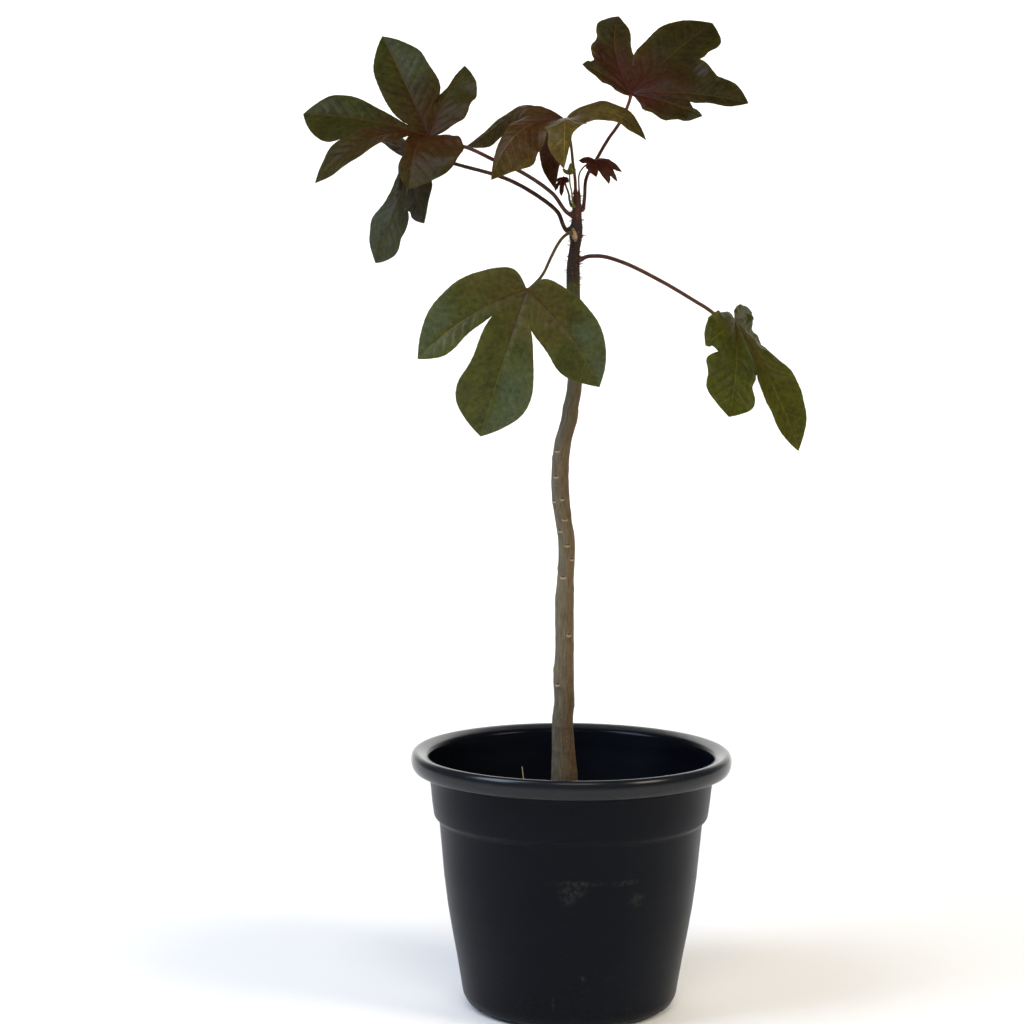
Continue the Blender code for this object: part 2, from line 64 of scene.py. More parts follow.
# Half section in mm, from the middle of the floor up the inside, over the lip and down the outside
POT_SECTION = [
    (0, 2.4), (72.6, 2.4), (80.3, 10), (87, 42), (93.8, 80), (98.6, 123), (100.8, 147), (104.8, 151),
    (107.3, 171), (109.8, 189), (111, 196.5), (113, 198.6), (115.8, 199.8), (118.8, 200.9),
    (121.4, 201.4), (123.6, 200.1), (124.7, 197.6), (125, 194.4), (124.7, 191.3), (123.8, 188.7),
    (122.4, 186.5), (120.8, 187.8), (122, 190), (122.8, 192.4), (123, 194.6), (122.6, 197),
    (121.2, 198.9), (118.2, 198.6), (113.8, 196.5), (111.9, 191.5), (109.4, 171), (108.4, 161),
    (106.9, 150.5), (103, 147.5), (100.7, 123), (98.9, 103), (95.9, 80), (92.5, 60), (89.1, 42),
    (85.4, 20), (83.8, 10), (80.6, 4), (75, 0.8), (67.5, 0), (0, 0),
]
POT_CORNER = 2.2
POT_STEPS = 192
WALL_RADIUS = 110
SHARP_FROM = 38
NOTCH_COUNT = 6
NOTCH_RADIUS = 7
NOTCH_SIDES = 40
NOTCH_LENGTH = 36
NOTCH_REACH = 78
NOTCH_DROP = 1.5
NOTCH_TURN = 2
LIP_FROM = 186.6
LIP_INSIDE = 113
# Scuffs on the wall: degrees round from the front, height, half width and half height in mm
SCUFFS = [
    (3, 119, 26, 3), (1, 113, 14, 7), (-1, 107, 8, 7), (25, 118, 12, 3), (30, 104, 8, 7), (-7, 22, 1.2, 8),
    (6, 44, 3, 3),
]
SCUFF_RADIUS = 100
SCUFF_DEPTH = 125


def unit(vector):
    vector = np.asarray(vector, float)
    return vector / np.linalg.norm(vector)


def linear(colour):
    """A colour written as sRGB hex, in the linear values that shaders take."""
    parts = [int(colour[i:i + 2], 16) / 255 for i in (1, 3, 5)]
    return (*[c / 12.92 if c <= 0.04045 else ((c + 0.055) / 1.055) ** 2.4 for c in parts], 1)


def feed(tree, made, inputs):
    """Gives a node's inputs, by name or in order, plain values, hex colours or the outputs that feed them."""
    if not isinstance(inputs, dict):
        in_use = [i for i, socket in enumerate(made.inputs) if socket.enabled]
        inputs = dict(zip(in_use, inputs))
    for key, value in inputs.items():
        if isinstance(value, bpy.types.NodeSocket):
            tree.links.new(value, made.inputs[key])
        else:
            made.inputs[key].default_value = linear(value) if isinstance(value, str) else value


def node(tree, kind, inputs=(), output=None, **settings):
    """Adds a shader node with its settings and links, and returns the output named or else its first."""
    made = tree.nodes.new("ShaderNode" + kind)
    for name, value in settings.items():
        setattr(made, name, value)
    feed(tree, made, inputs)
    return made.outputs[output] if output else next(socket for socket in made.outputs if socket.enabled)


def new_surface(name):
    """A new material, the call that adds a node to it and the call that feeds its shader."""
    surface = bpy.data.materials.new(name)
    surface.use_nodes = True
    tree = surface.node_tree
    return surface, partial(node, tree), partial(feed, tree, tree.nodes["Principled BSDF"])


def add_object(name, data):
    made = bpy.data.objects.new(name, data)
    bpy.context.scene.collection.objects.link(made)
    return made


def add_piece(name, mesh, surfaces, replaced):
    """Puts a finished mesh in the scene in place of CAD nodes."""
    piece = add_object(name, mesh)
    for surface in surfaces:
        mesh.materials.append(surface)
    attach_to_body(piece, "root")
    if replaced:
        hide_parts(*replaced)


def build_mesh(name, points, faces, corner_maps=None):
    """A smooth mesh from points in mm, with one UV map for each name in corner_maps."""
    mesh = bpy.data.meshes.new(name)
    mesh.from_pydata([tuple(point) for point in np.asarray(points) * MM], [], faces)
    for map_name, values in (corner_maps or {}).items():
        layer = mesh.uv_layers.new(name=map_name)
        layer.data.foreach_set("uv", np.asarray(values, np.float32).ravel())
    mesh.polygons.foreach_set("use_smooth", [True] * len(mesh.polygons))
    return mesh


def circle(radius, height, steps):
    """A ring of points round the pot's axis."""
    turns = np.arange(steps) * 2 * math.pi / steps
    return np.stack([radius * np.cos(turns), radius * np.sin(turns), np.full(steps, float(height))], 1)


def ring_faces(count, steps, base=0):
    """Faces over rings of points, from one end point to another, and each corner's place as (level, step)."""
    index = np.zeros((count + 2, steps + 1), int)
    index[1:-1, :-1] = 1 + np.arange(count * steps).reshape(count, steps)
    index[1:-1, -1] = index[1:-1, 0]
    index[-1] = count * steps + 1
    loops = []
    for level in range(count + 1):
        for i in range(steps):
            loop = [(level, i), (level + 1, i), (level + 1, i + 1), (level, i + 1)]
            if level == 0:
                del loop[3]
            if level == count:
                del loop[2]
            loops.append(loop)
    faces = [[base + index[spot] for spot in loop] for loop in loops]
    return faces, [spot for loop in loops for spot in loop]


def ring_mesh(name, first, rings, last, around=1, along=None, map_name=None):
    """A closed skin over rings of points that run outwards or down, with a map round and along it."""
    count, steps = np.shape(rings)[:2]
    faces, spots = ring_faces(count, steps)
    along = np.arange(count + 2) if along is None else along
    corners = [(around * i / steps, along[level]) for level, i in spots]
    points = np.concatenate([[first], np.reshape(rings, (-1, 3)), [last]])
    return build_mesh(name, points, faces, {map_name: corners} if map_name else None)


def rounded(section, radius):
    """The section with each corner turned into a small arc."""
    points = [np.array(section[0], float)]
    for before, corner, after in zip(section[:-2], section[1:-1], section[2:]):
        back = np.subtract(before, corner)
        ahead = np.subtract(after, corner)
        reach = min(radius, 0.4 * np.linalg.norm(back), 0.4 * np.linalg.norm(ahead))
        start = corner + unit(back) * reach
        stop = corner + unit(ahead) * reach
        for t in (0, 1 / 3, 2 / 3, 1):
            points.append((1 - t) ** 2 * start + 2 * t * (1 - t) * np.array(corner) + t * t * stop)
    return [*points, np.array(section[-1], float)]


def run_along(points):
    """The distance of each point from the first, along the line."""
    return np.concatenate([[0], np.cumsum(np.linalg.norm(np.diff(points, axis=0), axis=1))])


def pot_mesh():
    section = rounded(POT_SECTION, POT_CORNER)
    rings = [circle(radius, height, POT_STEPS) for radius, height in section[1:-1]]
    turned = ring_mesh("pot_body", (0, *section[0]), rings, (0, *section[-1]), 2 * math.pi * WALL_RADIUS,
                       run_along(section), "wall")
    body = add_object("pot_body", turned)
    cutters = []
    for i in range(NOTCH_COUNT):
        turn = math.radians(NOTCH_TURN - 90 + 360 * i / NOTCH_COUNT)
        bpy.ops.mesh.primitive_cylinder_add(
            vertices=NOTCH_SIDES, radius=NOTCH_RADIUS * MM, depth=NOTCH_LENGTH * MM,
            location=(NOTCH_REACH * MM * math.cos(turn), NOTCH_REACH * MM * math.sin(turn), -NOTCH_DROP * MM),
            rotation=(0, math.radians(90), turn))
        cutters.append(bpy.context.object)
        cut = body.modifiers.new("drain_notch", "BOOLEAN")
        cut.solver = "EXACT"
        cut.object = cutters[-1]
    bpy.context.view_layer.update()
    graph = bpy.context.evaluated_depsgraph_get()
    mesh = bpy.data.meshes.new_from_object(body.evaluated_get(graph))
    mesh.name = "pot"
    for helper in [body, *cutters]:
        bpy.data.objects.remove(helper)
    mesh.materials.clear()
    mesh.set_sharp_from_angle(angle=math.radians(SHARP_FROM))
    # The top and outside of the lip take the lip's material, painted lighter as sheen.
    for face in mesh.polygons:
        away = math.hypot(face.center.x, face.center.y)
        face.material_index = int(face.center.z > LIP_FROM * MM and away > LIP_INSIDE * MM)
    return mesh


def pot_plastic(name, dark, light, shine):
    """Black polypropylene, injection moulded: a dull satin skin with fine rub marks, scuffs and dust."""
    surface, add, finish = new_surface(name)
    place = add("TexCoord", output="Object")
    high = add("SeparateXYZ", [place], "Z")
    cloud = add("TexNoise", {"Vector": place, "Scale": 1 / 0.045, "Detail": 5})
    wall = add("UVMap", uv_map="wall")
    rub_place = add("Mapping", {"Vector": wall, "Scale": (1 / 45, 1 / 0.9, 1)})
    rubs = add("TexNoise", {"Vector": rub_place, "Scale": 1, "Detail": 6, "Roughness": 0.7})
    rubbed = add("MapRange", [rubs, 0.6, 0.75, 0, 0.35])
    dust = add("TexNoise", {"Vector": place, "Scale": 1 / 0.0012, "Detail": 4})
    speck = add("MapRange", [dust, 0.62, 0.74])
    low_dust = add("MapRange", [high, 0.1, 0, 0, 0.2])
    scuffed = add("Math", [speck, low_dust], operation="MULTIPLY")
    scratch = add("TexNoise", {"Vector": place, "Scale": 1 / 0.004, "Detail": 6, "Roughness": 0.75})
    scratched = add("MapRange", [scratch, 0.42, 0.75, 0, 0.27])
    for turn, height, half_width, half_height in SCUFFS:
        angle = math.radians(turn - 90)
        middle = np.array([SCUFF_RADIUS * math.cos(angle), SCUFF_RADIUS * math.sin(angle), height]) * MM
        offset = add("VectorMath", [place, middle], operation="SUBTRACT")
        reach = (1 / (half_width * MM), 1 / (SCUFF_DEPTH * MM), 1 / (half_height * MM))
        sized = add("VectorMath", [offset, reach], operation="MULTIPLY")
        far = add("VectorMath", [sized], operation="LENGTH")
        near = add("MapRange", [far, 1, 0.2])
        mark = add("Math", [near, scratched], operation="MULTIPLY")
        scuffed = add("Math", [scuffed, mark], operation="MAXIMUM")
    tone = add("Mix", [cloud, dark, light], data_type="RGBA")
    worn = add("Mix", [rubbed, tone, "#2b2e33"], data_type="RGBA")
    colour = add("Mix", [scuffed, worn, "#6d6a62"], data_type="RGBA")
    handled = add("MapRange", [high, 0.178, 0.187, 0.3, 0.12])
    rough = add("Math", [cloud, 0.12, handled], operation="MULTIPLY_ADD")
    rough = add("Math", [rough, scuffed], operation="ADD", use_clamp=True)
    grain = add("TexNoise", {"Vector": place, "Scale": 1 / 0.0008, "Detail": 2})
    height = add("Math", [grain, rubs], operation="ADD")
    bump = add("Bump", {"Height": height, "Strength": 0.25, "Distance": 0.00012})
    finish({"Base Color": colour, "Normal": bump, "Roughness": rough, "Specular IOR Level": shine})
    return surface


pot_wall = pot_plastic("Black polypropylene, moulded", "#070910", "#0d1118", 0.09)
# The lip's lighter colours are partly dust and partly painted sheen, standing in for the light that its
# upturned roll catches; its higher shine is its own.
pot_lip = pot_plastic("Black polypropylene, lip rubbed by hands", "#111317", "#1e2125", 0.3)
add_piece("pot_visual", pot_mesh(), [pot_wall, pot_lip], ["pot"])

# Potting soil
# A loose mix of peat, composted bark and a little perlite, filled to below the collar and settled by
# watering. The bulk is one body with a rough top, and the crumbs, chips and a straw lie on it.

SOIL_TOP = 137
SOIL_EDGE = 99.5
SOIL_RISE = 3
SOIL_RINGS = 70
SOIL_STEPS = 180
# Radius and height of the soil's side, down to the pot's floor
SOIL_SIDE = [(98.3, 123), (93.5, 80), (86.7, 42), (80, 10.3), (72.3, 2.7)]
STEM_FOOT_X = -5
STEM_FOOT_Z = 100
STEM_CLEARANCE = 12.5
STRAW = [(-35.5, 57, 134), (-36, 57.6, 145), (-37.4, 58.8, 160), (-39.5, 60, 176)]
STRAW_RADII = [0.7, 0.65, 0.55, 0.4]


def soil_height(x, y):
    """Height of the soil's top above Z = 0 in mm, before its crumbs."""
    radius = math.hypot(x, y)
    rise = SOIL_RISE * math.exp(-((math.hypot(x - STEM_FOOT_X, y) / 40) ** 2))
    rise += 1.4 * math.sin(x / 17) * math.cos(y / 13 + 1) * min(1, radius / 30)
    return SOIL_TOP + rise


def soil_mesh():
    rings = []
    for share in np.arange(1, SOIL_RINGS + 1) / SOIL_RINGS:
        ring = circle(SOIL_EDGE * share, 0, SOIL_STEPS) + (STEM_FOOT_X * (1 - share), 0, 0)
        for spot in ring:
            x, y = spot[:2]
            lumps = noise.fractal(Vector((x, y, 0)) / 9, 0.7, 2.1, 5) * 1.6
            spot[2] = soil_height(x, y) + lumps + noise.noise(Vector((x, y, 7)) / 2.2) * 0.7
        rings.append(ring)
    rings += [circle(radius, height, SOIL_STEPS) for radius, height in SOIL_SIDE]
    top = (STEM_FOOT_X, 0, soil_height(STEM_FOOT_X, 0) - 1)
    return ring_mesh("soil", top, rings, (0, 0, SOIL_SIDE[-1][1]))


def crumbs_mesh(name, count, sizes, stretch, seed):
    """Small rough lumps scattered over the soil, each a bent octahedron split once."""
    draw = random.Random(seed)
    ball = [Vector(v) for v in ((1, 0, 0), (-1, 0, 0), (0, 1, 0), (0, -1, 0), (0, 0, 1), (0, 0, -1))]
    sides = [(0, 2, 4), (2, 1, 4), (1, 3, 4), (3, 0, 4), (2, 0, 5), (1, 2, 5), (3, 1, 5), (0, 3, 5)]
    facets = []
    middle = {}
    for a, b, c in sides:
        mids = []
        for pair in ((a, b), (b, c), (c, a)):
            key = tuple(sorted(pair))
            if key not in middle:
                middle[key] = len(ball)
                ball.append((ball[key[0]] + ball[key[1]]).normalized())
            mids.append(middle[key])
        facets += [(a, mids[0], mids[2]), (b, mids[1], mids[0]), (c, mids[2], mids[1]), tuple(mids)]
    points = []
    faces = []
    for _ in range(count):
        radius = (SOIL_EDGE - 4) * math.sqrt(draw.random())
        turn = draw.uniform(0, 2 * math.pi)
        x = radius * math.cos(turn)
        y = radius * math.sin(turn)
        if math.hypot(x - STEM_FOOT_X, y) < STEM_CLEARANCE:
            continue
        size = draw.uniform(*sizes)
        spin = Matrix.Rotation(draw.uniform(0, 6.3), 3, "Z")
        spin = spin @ Matrix.Rotation(draw.uniform(-0.5, 0.5), 3, "X")
        shape = Vector((draw.uniform(1, stretch), draw.uniform(0.6, 1), draw.uniform(0.4, 0.8))) * size
        base = len(points)
        for corner in ball:
            lump = 1 + 0.35 * noise.noise(corner * 1.7 + Vector((x, y, 0)))
            point = spin @ (corner * shape) * lump
            points.append((x + point.x, y + point.y, soil_height(x, y) + 0.4 * shape.z + point.z))
        faces += [tuple(base + i for i in facet) for facet in facets]
    return build_mesh(name, points, faces)


def tube_mesh(name, path, radii, sides):
    """A round closed tube along a path, with a map of its girth and its length, each from 0 to 1."""
    path = np.array(path, float)
    share = run_along(path)
    share /= share[-1]
    tangents = np.gradient(path, axis=0)
    tangents /= np.linalg.norm(tangents, axis=1, keepdims=True)
    side = unit(np.cross(tangents[0], (0.31, 0.2, 0.93)))
    rings = []
    for spot, tangent, radius in zip(path, tangents, radii):
        side = unit(side - tangent * (side @ tangent))
        other = np.cross(tangent, side)
        ring = []
        for x, y in circle(1, 0, sides)[:, :2]:
            lump = 1 + 0.05 * noise.noise(Vector(spot) / 2.5 + Vector((x, y, 0)))
            ring.append(spot + (side * x + other * y) * radius * lump)
        rings.append(ring)
    return ring_mesh(name, path[-1], rings[::-1], path[0], 1, [1, *share[::-1], 0], "stalk")


def soil_surface(name, dark, light, grain):
    """Peat, bark, perlite or straw: damp or dusty, with no shine, each lump a slightly different tone."""
    surface, add, finish = new_surface(name)
    place = add("TexCoord", output="Object")
    lumps = add("TexVoronoi", {"Vector": place, "Scale": 1 / grain}, "Color")
    fine = add("TexNoise", {"Vector": place, "Scale": 1 / 0.0009, "Detail": 5})
    mixed = add("Math", [lumps, fine], operation="MULTIPLY")
    colour = add("Mix", [mixed, dark, light], data_type="RGBA")
    bump = add("Bump", {"Height": fine, "Strength": 0.8, "Distance": 0.0008})
    finish({"Base Color": colour, "Normal": bump, "Roughness": 0.95, "Specular IOR Level": 0.2})
    return surface


peat = soil_surface("Damp peat", "#1a120c", "#4a3524", 0.003)
add_piece("soil_visual", soil_mesh(), [peat], ["soil"])
chip = soil_surface("Composted bark chips", "#24170e", "#5d4028", 0.006)
perlite = soil_surface("Perlite grains", "#9c978c", "#d8d3c6", 0.002)
# What lies scattered on the soil: number, smallest and largest size in mm, stretch and seed of the draw
for name, skin, count, sizes, stretch, seed in (
        ("soil_crumbs", peat, 1500, (0.9, 2.3), 1.3, 3),
        ("bark_chips", chip, 170, (1.6, 3.6), 2.6, 8),
        ("perlite_grains", perlite, 46, (0.8, 1.5), 1.2, 12)):
    add_piece(name, crumbs_mesh(name, count, sizes, stretch, seed), [skin], [])
straw = soil_surface("Dry straw", "#8a7a58", "#c8b88e", 0.002)
add_piece("dry_straw", tube_mesh("dry_straw", STRAW, STRAW_RADII, 8), [straw], [])

# Stem
# The woody stem of a young jatropha, with thin smooth bark that weathers from red-brown at the growing
# tip through green to grey-brown. It swells a little at each node and carries a pale scar for each leaf lost.

# Height, sideways position and thickness in mm
STEM_STATIONS = [
    (100, -5, 21), (145, -5, 21), (178, -5.1, 21), (200, -6, 18.4), (225, -7, 16.6), (241, -5.7, 16),
    (257, -6.4, 16.4), (280, -5.9, 14.8), (319, -6.2, 15), (335, -5.6, 13.4), (352, -4.9, 13),
    (366, -5, 13.4), (382, -7.5, 13.2), (397, -9.5, 14), (413, -10.4, 13.8), (428, -10, 13.4),
    (444, -8, 13.3), (452, -5.8, 13), (460, -3.6, 13.2), (468, -2.8, 12.4), (483, 0, 11.8),
    (500, 0.4, 11.4), (530, -0.6, 11), (560, -1.4, 10.8), (575, -1.6, 10.6), (590, -0.7, 8.8),
    (598, 0.4, 9.2), (605, 0, 11.2), (611, 0.8, 8.6), (616, 1, 7.7), (622, 0.9, 7.6), (628, 0.8, 6.4),
    (633, 1, 5.6),
]
STEM_TOP = 633
STEM_SIDES = 84
STEM_RING_STEP = 0.6
BARK_GIRTH = 40
BARK_SMOOTHS = (480, 620)
# Leaf scars: height, degrees round (-90 is the front), half width and half height in mm
LEAF_SCARS = [
    (435, -120, 2.4, 1.5), (415, -118, 2.4, 1.6), (396, -140, 2.2, 1.6), (398, -82, 2.2, 1.6),
    (382, -80, 2.6, 1.4), (373, -128, 2.4, 1.5), (362, -85, 2.6, 1.5), (351, -50, 2.4, 1.4),
    (337, -108, 2.8, 1.6), (292, -62, 2.6, 1.7), (253, -128, 2.6, 1.8), (470, 150, 2.4, 1.6),
    (466, 20, 2.4, 1.6), (447, 60, 2.4, 1.5), (430, 170, 2.4, 1.5), (421, 30, 2.4, 1.6),
    (404, 95, 2.4, 1.6), (388, 15, 2.4, 1.5), (377, 130, 2.6, 1.6), (355, 80, 2.6, 1.5),
    (345, 170, 2.6, 1.6), (328, 25, 2.6, 1.6), (310, 120, 2.6, 1.7), (283, 60, 2.8, 1.8),
    (265, 165, 2.8, 1.8), (236, 20, 2.8, 1.8), (500, -60, 2.2, 1.4), (517, 110, 2.2, 1.4),
    (530, -150, 2.2, 1.4), (545, 40, 2.2, 1.4), (556, 170, 2.2, 1.4), (566, 75, 2, 1.3),
]
# The oval wound in front where a side shoot was cut away
CUT_SCAR = (601.5, -104, 2.3, 5)
# Rings round the stem: height, how far they stand out in mm and how dark they are
STEM_RINGS = [(598, 0.5, 1), (583, 0.4, 1), (605, 0.35, 1), (220, 0.2, 0.1), (200, 0.15, 0.1), (166, 0.15, 0)]
# Tints of the bark up the stem: from and to which height in m each comes in
BARK_TINTS = [
    (0.15, 0.2, "#706146"), (0.22, 0.3, "#78694c"), (0.32, 0.4, "#706246"), (0.42, 0.5, "#5f593a"),
    (0.53, 0.56, "#41431a"), (0.568, 0.58, "#301c14"), (0.605, 0.62, "#4c2a1e"),
]


def ease(low, high, values):
    part = np.clip((values - low) / (high - low), 0, 1)
    return part * part * (3 - 2 * part)


def smooth_curve(at, heights, values):
    """Heights at the values asked for, on a smooth line that never swings past its points."""
    at = np.asarray(at, float)
    heights = np.asarray(heights, float)
    rise = np.diff(heights) / np.diff(at)
    slope = np.concatenate([[rise[0]], (rise[1:] + rise[:-1]) / 2, [rise[-1]]])
    slope[np.nonzero(rise[:-1] * rise[1:] <= 0)[0] + 1] = 0
    values = np.clip(values, at[0], at[-1])
    k = np.clip(np.searchsorted(at, values) - 1, 0, len(at) - 2)
    step = at[k + 1] - at[k]
    t = (values - at[k]) / step
    low = (2 * t**3 - 3 * t**2 + 1) * heights[k] + (t**3 - 2 * t**2 + t) * step * slope[k]
    high = (3 * t**2 - 2 * t**3) * heights[k + 1] + (t**3 - t**2) * step * slope[k + 1]
    return low + high


def stem_at(height):
    """Sideways position and radius of the stem at a height, or at many."""
    heights, middles, widths = zip(*STEM_STATIONS)
    return smooth_curve(heights, middles, height), smooth_curve(heights, widths, height) / 2


def add_facts(mesh, facts):
    """Numbers kept at each point, which materials read by name."""
    for name, values in facts.items():
        layer = mesh.attributes.new(name, "FLOAT", "POINT")
        layer.data.foreach_set("value", np.asarray(values, np.float32))


def stem_mesh():
    heights = np.arange(STEM_FOOT_Z, STEM_TOP + 0.01, STEM_RING_STEP)
    middle, radius = stem_at(heights)
    turns = np.arange(STEM_SIDES) * 2 * math.pi / STEM_SIDES
    z, turn = np.meshgrid(heights, turns, indexing="ij")
    size = np.repeat(radius[:, None], STEM_SIDES, 1)
    scar, ring, swell, rough = np.zeros((4, *size.shape))
    for height, degrees, half_width, half_height in [*LEAF_SCARS, CUT_SCAR]:
        across = (np.mod(turn - math.radians(degrees) + math.pi, 2 * math.pi) - math.pi) * size
        cut = half_height > 3
        up = z - height + (across * 0.6 if cut else 0)
        reach = (across / half_width) ** 2 + (up / half_height) ** 2
        swell += 0.6 * np.exp(-reach / 2.2) * np.clip(size / 7, 0.5, 1)
        if not cut:
            sag = (up - 0.4 * half_height * (across / half_width) ** 2) / half_height
            reach = (across / half_width) ** 2 + (sag / 0.42) ** 2
            eye = (across / (0.5 * half_width)) ** 2 + ((sag - 0.9) / 0.35) ** 2
            ring = np.maximum(ring, 1 - ease(0.5, 1.4, eye))
        scar = np.maximum(scar, 1 - ease(0.65, 1.15, reach))
    for height, depth, dark in STEM_RINGS:
        wobble = height + 0.6 * np.sin(turn + height)
        swell += depth * np.exp(-((z - wobble - 1.6) / 1.8) ** 2)
        ring = np.maximum(ring, dark * np.exp(-((z - wobble) / 0.7) ** 2))
        swell -= 0.25 * dark * np.exp(-((z - wobble) / 0.6) ** 2)
    for spot in np.ndindex(rough.shape):
        place = Vector((math.cos(turn[spot]) * 5, math.sin(turn[spot]) * 5, z[spot] / 9))
        rough[spot] = noise.fractal(place, 0.8, 2, 4)
    old = 1 - ease(*BARK_SMOOTHS, z)
    size = size + (swell + 0.16 * rough * (0.35 + old)) * 0.95 - 0.15
    rings = np.stack([middle[:, None] + size * np.cos(turn), size * np.sin(turn), z], -1)[::-1]
    top = (middle[-1], 0, STEM_TOP + 0.2)
    along = [STEM_TOP, *heights[::-1], STEM_FOOT_Z]
    mesh = ring_mesh("stem", top, rings, (middle[0], 0, STEM_FOOT_Z), BARK_GIRTH, along, "bark")
    add_facts(mesh, {"scar": [0, *scar[::-1].ravel(), 0], "ring": [0, *ring[::-1].ravel(), 0]})
    return mesh


def stem_bark():
    """Smooth living bark: faint upright streaks, small pale pores, corky cream scars, and painted light that
    turns the right side orange-brown and the left side blue-grey.
    """
    surface, add, finish = new_surface("Jatropha bark")
    place = add("TexCoord", output="Object")
    high = add("SeparateXYZ", [place], "Z")
    bark = add("UVMap", uv_map="bark")
    streak_place = add("Mapping", {"Vector": bark, "Scale": (1 / 1.1, 1 / 13, 1)})
    streaks = add("TexNoise", {"Vector": streak_place, "Scale": 1, "Detail": 6, "Roughness": 0.6})
    cloud = add("TexNoise", {"Vector": place, "Scale": 1 / 0.018, "Detail": 4})
    shift = add("Math", [cloud, 0.05, -0.025], operation="MULTIPLY_ADD")
    level = add("Math", [high, shift], operation="ADD")
    colour = "#4a3c2b"
    for start, stop, tint in BARK_TINTS:
        share = add("MapRange", [level, start, stop], interpolation_type="SMOOTHSTEP")
        colour = add("Mix", [share, colour, tint], data_type="RGBA")
    # Painted light: low on the stem and in patches, the right side is painted orange-brown and the left side
    # blue-grey, as the orange-white lamp on the right and the bluish lamp on the left would light them.
    round_way = add("SeparateXYZ", [bark], "X")
    turn = add("Math", [round_way, 2 * math.pi / BARK_GIRTH], operation="MULTIPLY")
    facing = add("Math", [turn], operation="COSINE")
    warm_lit_side = add("MapRange", [facing, -0.7, 0.7])
    sides = add("Mix", [warm_lit_side, "#5a6462", "#684624"], data_type="RGBA")
    patch = add("TexNoise", {"Vector": place, "Scale": 1 / 0.008, "Detail": 5, "Roughness": 0.6})
    side_share = add("MapRange", [patch, 0.35, 0.65, 0.1, 0.5])
    low_share = add("MapRange", [high, 0.5, 0.56, 1, 0.2])
    side_light_share = add("Math", [side_share, low_share], operation="MULTIPLY")
    side_lit = add("Mix", [side_light_share, colour, sides], data_type="RGBA")
    dark = add("MapRange", [streaks, 0.3, 0.7, 0.5, 1.3])
    streaked = add("VectorMath", [side_lit, dark], operation="SCALE")
    pores = add("TexVoronoi", {"Vector": bark, "Scale": 1 / 3.4})
    pore = add("MapRange", [pores, 0.16, 0.08, 0, 0.5])
    dotted = add("Mix", [pore, streaked, "#9a8c6c"], data_type="RGBA")
    scar = add("Attribute", output="Fac", attribute_name="scar")
    corky = add("Mix", [scar, dotted, "#b09470"], data_type="RGBA")
    ring = add("Attribute", output="Fac", attribute_name="ring")
    ring_share = add("Math", [ring, 0.6], operation="MULTIPLY")
    ringed = add("Mix", [ring_share, corky, "#2c2018"], data_type="RGBA")
    bump = add("Bump", {"Height": streaks, "Strength": 0.6, "Distance": 0.0006})
    finish({"Base Color": ringed, "Normal": bump, "Roughness": 0.62, "Specular IOR Level": 0.25})
    return surface


add_piece("stem_visual", stem_mesh(), [stem_bark()], ["trunk"])

# Grown leaves
# Six palmate leaves on long round stalks, each blade one thin sheet cut into three to five lobes. A rib
# runs from the top of the stalk down each lobe, with side veins that sink into the upper side.

BLADE_EDGE = 0.25
BLADE_MIDDLE = 0.4
# Half width of a lobe, at shares of the way from its notch to its tip, and of an outer edge from its foot
LOBE_AT = [0, 0.2, 0.4, 0.55, 0.72, 0.88, 0.96, 1]
LOBE_HALF_WIDTH = [0, 0.55, 0.9, 1, 0.88, 0.46, 0.17, 0]
EDGE_AT = [0, 0.03, 0.1, 0.2, 0.38, 0.55, 0.72, 0.88, 0.96, 1]
EDGE_HALF_WIDTH = [0, 0.3, 0.62, 0.84, 1, 0.98, 0.8, 0.42, 0.15, 0]
VEIN_SPACING = 9
VEIN_LEAN = 0.75
VEIN_BOW = 0.008
VEIN_STAGGER = 0.35
TOOTH_STEP = 5.5
TOOTH_DEPTH = 0.16
STALK_STEP = 0.9
STALK_SIDES = 14


def stem_side(height, azimuth):
    """A point just inside the side of the stem and the direction the side faces."""
    middle, radius = stem_at(height)
    turn = math.radians(azimuth)
    outward = np.array([math.cos(turn), math.sin(turn), 0])
    return np.array([middle, 0, height]) + outward * (radius + 0.3), outward


def lobe(tip, widths, arch, **other):
    """One lobe: tip from the blade's foot, half widths left and right, bow of the midrib, turn, tint and
    painted sheen.
    """
    shape = {"roll": 0, "bend": 0, "skew": 0, "peaks": (1, 1), "folds": None}
    tint = {"red": 0, "tone": 1, "bloom": (0, 0)}
    return SimpleNamespace(tip=np.array(tip, float), widths=widths, arch=arch, **{**shape, **tint, **other})


